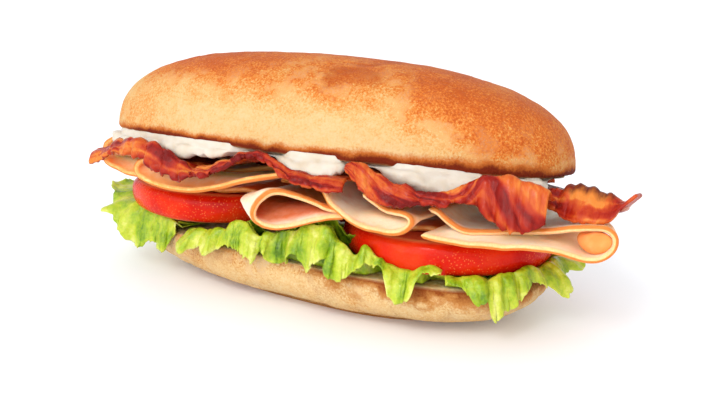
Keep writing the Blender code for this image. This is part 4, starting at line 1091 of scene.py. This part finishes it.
LETTUCE = {
    "lettuce_left": (22.4, [
        (0.448, 24, 4), (0.462, 23, 7), (0.474, 27, 5), (0.488, 28, 8), (0.503, 29, 7.5), (0.515, 31, 12),
        (0.528, 32.5, 16.5), (0.534, 31, 15), (0.54, 28.5, 11), (0.547, 25.5, 13), (0.556, 23.5, 17),
        (0.562, 21.5, 14), (0.568, 18, 11.5), (0.572, 17.5, 12.5), (0.578, 13.5, 9.5), (0.586, 10.6, 8),
        (0.593, 11.5, 6.5), (0.6, 15.5, 5.5), (0.608, 14.7, 4.5), (0.616, 11.9, 4.5), (0.622, 13, 3.2),
        (0.627, 17.5, 2), (0.631, 21, 1.2)],
        [(0.448, 25), (0.5, 28), (0.53, 30), (0.56, 28.5), (0.6, 27.5), (0.631, 25)], 400),
    "lettuce_front": (20.7, [
        (0.662, 18.5, 6, -7), (0.667, 17.9, 6.5, -7), (0.671, 16.5, 7, -5), (0.674, 18.5, 6, -3),
        (0.68, 20.3, 5, -2), (0.688, 18.3, 6, -1.5), (0.697, 19.8, 5, -1), (0.701, 22.3, 4),
        (0.712, 23.1, 3.5), (0.7195, 21.7, 4.5), (0.73, 20.7, 6.5), (0.7365, 19.4, 6, 1),
        (0.739, 21.6, 4, 0.5), (0.7425, 25.2, 1.5, -1), (0.7475, 24, 6.5), (0.751, 20.5, 4.5),
        (0.7545, 19.9, 2), (0.7665, 21, 2), (0.7715, 22.5, 6), (0.778, 24.9, 7), (0.783, 26.4, 5),
        (0.791, 18.9, 6.5), (0.798, 22.9, 8), (0.808, 26.6, 6), (0.8115, 25.7, 2.5), (0.815, 21.7, 5, -1),
        (0.819, 18.8, 5.5, -0.5), (0.83, 21, 6.5), (0.8355, 23.7, 3.5), (0.8415, 25.7, 4.5),
        (0.847, 26.8, 3), (0.856, 26.5, 2.5), (0.862, 24.9, 6), (0.865, 20.9, 7.5), (0.8685, 16.7, 8.2),
        (0.876, 15.7, 6.4), (0.8835, 18.1, 8.2), (0.8865, 22.2, 7), (0.889, 25.6, 5), (0.8925, 26.5, 4),
        (0.902, 26.9, 5), (0.906, 25.8, 6)],
        [(0.662, 24.2), (0.68, 26.2), (0.701, 28.4), (0.7035, 30.3), (0.717, 32.4), (0.7235, 32.1),
         (0.7305, 29), (0.7385, 28.3), (0.755, 30.6), (0.78, 33.5), (0.792, 36), (0.804, 37), (0.81, 35.5),
         (0.8135, 31.6), (0.8225, 31.6), (0.832, 27.9), (0.836, 28.9), (0.8405, 31.8), (0.847, 31.1),
         (0.8525, 28.6), (0.857, 27.6), (0.864, 27), (0.8815, 25.5), (0.892, 28), (0.8975, 29),
         (0.906, 26.5)], 420),
    "lettuce_right": (20.7, [
        (0.908, 23.5, 1.5), (0.9115, 22.7, 2.5), (0.921, 22.8, 3.5), (0.9265, 20.2, 4.5), (0.9315, 17.3, 6),
        (0.9365, 16.6, 6), (0.9405, 21, 2.5), (0.9425, 12.9, 6.5, -1.5), (0.946, 12.2, 6.8, -1),
        (0.951, 14.5, 5, -1), (0.957, 13.9, 6.5), (0.9625, 17.1, 4.5), (0.968, 19, 5), (0.973, 23.2, 1.5),
        (0.982, 21.4, 6), (0.991, 18.9, 7), (0.999, 14.5, 9), (1.006, 17.6, 9.5), (1.013, 19.2, 7),
        (1.025, 20.7, 4), (1.036, 20.8, 10.5), (1.041, 21.9, 11.5), (1.052, 22, 7), (1.062, 22, 3)],
        [(0.908, 24.8), (0.935, 25.4), (0.9415, 24), (0.95, 26.2), (0.9705, 26.8), (0.98, 28), (0.99, 26),
         (1.01, 26.5), (1.04, 25.5), (1.062, 24.5)], 440),
    "lettuce_rear": (20.7, [
        (0.088, 21, 2), (0.105, 14, 7), (0.121, 21, 3), (0.137, 17, 6), (0.15, 21, 3), (0.168, 15, 6),
        (0.184, 21, 2.5), (0.2, 14, 6), (0.215, 22, 3), (0.231, 17, 8), (0.247, 21, 4), (0.263, 15, 8),
        (0.28, 20, 4), (0.294, 14, 7), (0.31, 22, 3), (0.326, 18, 6), (0.342, 22, 3), (0.357, 20, 7),
        (0.372, 21, 4), (0.389, 14, 8), (0.405, 21, 4), (0.42, 19, 7), (0.437, 21, 2)],
        [(0.088, 23), (0.2, 24), (0.231, 27), (0.31, 26), (0.42, 27), (0.437, 24)], 460, REAR_LEAF_STEP),
}


# The rolled end of turkey in the right-hand fold: the middle of its front, its lean to the left behind, how
# much wider than high it is, and its radius by depth.
CURL_CENTRE = (109.2, -33.4, 42.2)
CURL_LEAN = 0.62
CURL_STRETCH = 1.25
CURL_PROFILE = [(0, 0.15), (0.3, 1.2), (1.2, 2.7), (2.8, 3.7), (5, 3.8), (9, 3), (12, 1.4), (12.8, 0.2)]


def wavy_stations(start, end, lip, peaks, top=56.1, low=50.6):
    """Stations for a strip whose lip faces the back: an even wave between X start and end."""
    stations = []
    for x in np.linspace(start, end, 4 * peaks + 1):
        share = (x - start) / (end - start)
        rise = math.cos(math.tau * peaks * share)
        edge = lip - 9 * abs(2 * share - 1) ** 3
        stations.append((x, top + 1.9 * rise, low + 1.8 * rise, edge, top - 0.5, edge - 24, -2.5))
    return stations


# The view: how far the camera is turned and raised, its distance, and where it looks.
VIEW_TURN = math.radians(27)
VIEW_RAISE = math.radians(16.5)
VIEW_DISTANCE = 415
VIEW_TARGET = (11, 1, 34)
VIEW_LENS = 57
SENSOR_WIDTH = 36
FLOOR_HALF = 4000
# Far lamps: where each stands, its strength, and how many degrees of the sky it fills.
FAR_LAMPS = {
    "key": ((-360, -800, 480), 0.9, 50),
    "fill": ((260, -800, 270), 0.8, 40),
    "low": ((-160, -800, 60), 0.4, 30),
}
# The near lamp: where it stands, where it looks, its width and height, and its watts.
GLOSS_PLACE = (120, -520, 420)
GLOSS_TARGET = (5, 0, 35)
GLOSS_SIZE = (160, 120)
GLOSS_WATTS = 0.9


def aim(made, place, target):
    """Puts an object at a place, looking at a target, both in millimetres."""
    place, target = np.array(place), np.array(target)
    made.location = place * MM
    away = place - target
    turn = math.atan2(away[0], -away[1])
    rise = math.atan2(away[2], math.hypot(away[0], away[1]))
    made.rotation_euler = (math.pi / 2 - rise, 0, turn)


def camera():
    lens = bpy.data.cameras.new("view")
    lens.lens = VIEW_LENS
    lens.sensor_width = SENSOR_WIDTH
    lens.clip_start = 0.01
    made = placed("view", lens)
    flat = VIEW_DISTANCE * math.cos(VIEW_RAISE)
    place = (VIEW_TARGET[0] + flat * math.sin(VIEW_TURN), VIEW_TARGET[1] - flat * math.cos(VIEW_TURN),
             VIEW_TARGET[2] + VIEW_DISTANCE * math.sin(VIEW_RAISE))
    aim(made, place, VIEW_TARGET)
    bpy.context.scene.camera = made


def studio():
    """A pale floor under a soft white sky, three broad far lamps in front, and a small near one for gloss."""
    mesh = bpy.data.meshes.new("floor")
    half = FLOOR_HALF * MM
    corners = [(-half, -half, 0.0), (half, -half, 0.0), (half, half, 0.0), (-half, half, 0.0)]
    mesh.from_pydata(corners, [], [(0, 1, 2, 3)])
    ground = Finish("floor_pale", lit=1, Roughness=0.9, Specular_IOR_Level=0.1)
    tint = ground.ramp(ground.noise(300, 1), [(0, (247, 250, 254)), (1, (249, 251, 255))])
    ground.feed(ground.shader.inputs["Base Color"], tint)
    mesh.materials.append(ground.made)
    floor = placed("floor", mesh)
    world = bpy.data.worlds.new("studio")
    world.use_nodes = True
    sky = world.node_tree.nodes["Background"].inputs
    sky["Color"].default_value = (1, 1, 1, 1)
    sky["Strength"].default_value = 1
    bpy.context.scene.world = world
    for name, (place, strength, degrees) in FAR_LAMPS.items():
        lamp = bpy.data.lights.new(name, "SUN")
        lamp.energy, lamp.angle = strength, math.radians(degrees)
        aim(placed(name, lamp), place, (0, 0, 0))
    gloss = bpy.data.lights.new("gloss", "AREA")
    gloss.shape = "RECTANGLE"
    gloss.size, gloss.size_y = (side * MM for side in GLOSS_SIZE)
    gloss.energy = GLOSS_WATTS
    aim(placed("gloss", gloss), GLOSS_PLACE, GLOSS_TARGET)
    bpy.context.scene.view_settings.view_transform = "Standard"


def build():
    upper_bread()
    lower_bread()
    mayonnaise()
    tomato, turkey, bacon, lettuce = tomato_finish(), turkey_finish(), bacon_finish(), lettuce_finish()
    for name, (centre, floor) in TOMATOES.items():
        tomato_slice(name, centre, floor, tomato)
    for name, shape in {**TURKEY, **INNER_TURKEY}.items():
        turkey_slice(name, turkey, **shape)
    turkey_curl(turkey)
    for name, shape in BACON.items():
        bacon_strip(name, bacon, **shape)
    for name, (seed, wave) in {**REAR_BACON, **INNER_BACON}.items():
        bacon_strip(name, bacon, wavy_stations(*wave), side=1, seed=seed)
    for name, leaf in LETTUCE.items():
        lettuce_leaf(name, lettuce, *leaf)


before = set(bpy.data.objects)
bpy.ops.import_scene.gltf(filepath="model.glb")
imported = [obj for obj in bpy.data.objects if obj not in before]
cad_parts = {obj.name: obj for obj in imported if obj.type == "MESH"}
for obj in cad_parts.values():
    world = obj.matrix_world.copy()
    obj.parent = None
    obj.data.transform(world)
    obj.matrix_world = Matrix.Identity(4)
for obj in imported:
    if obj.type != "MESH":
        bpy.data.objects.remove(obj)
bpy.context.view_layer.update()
build()
studio()
camera()
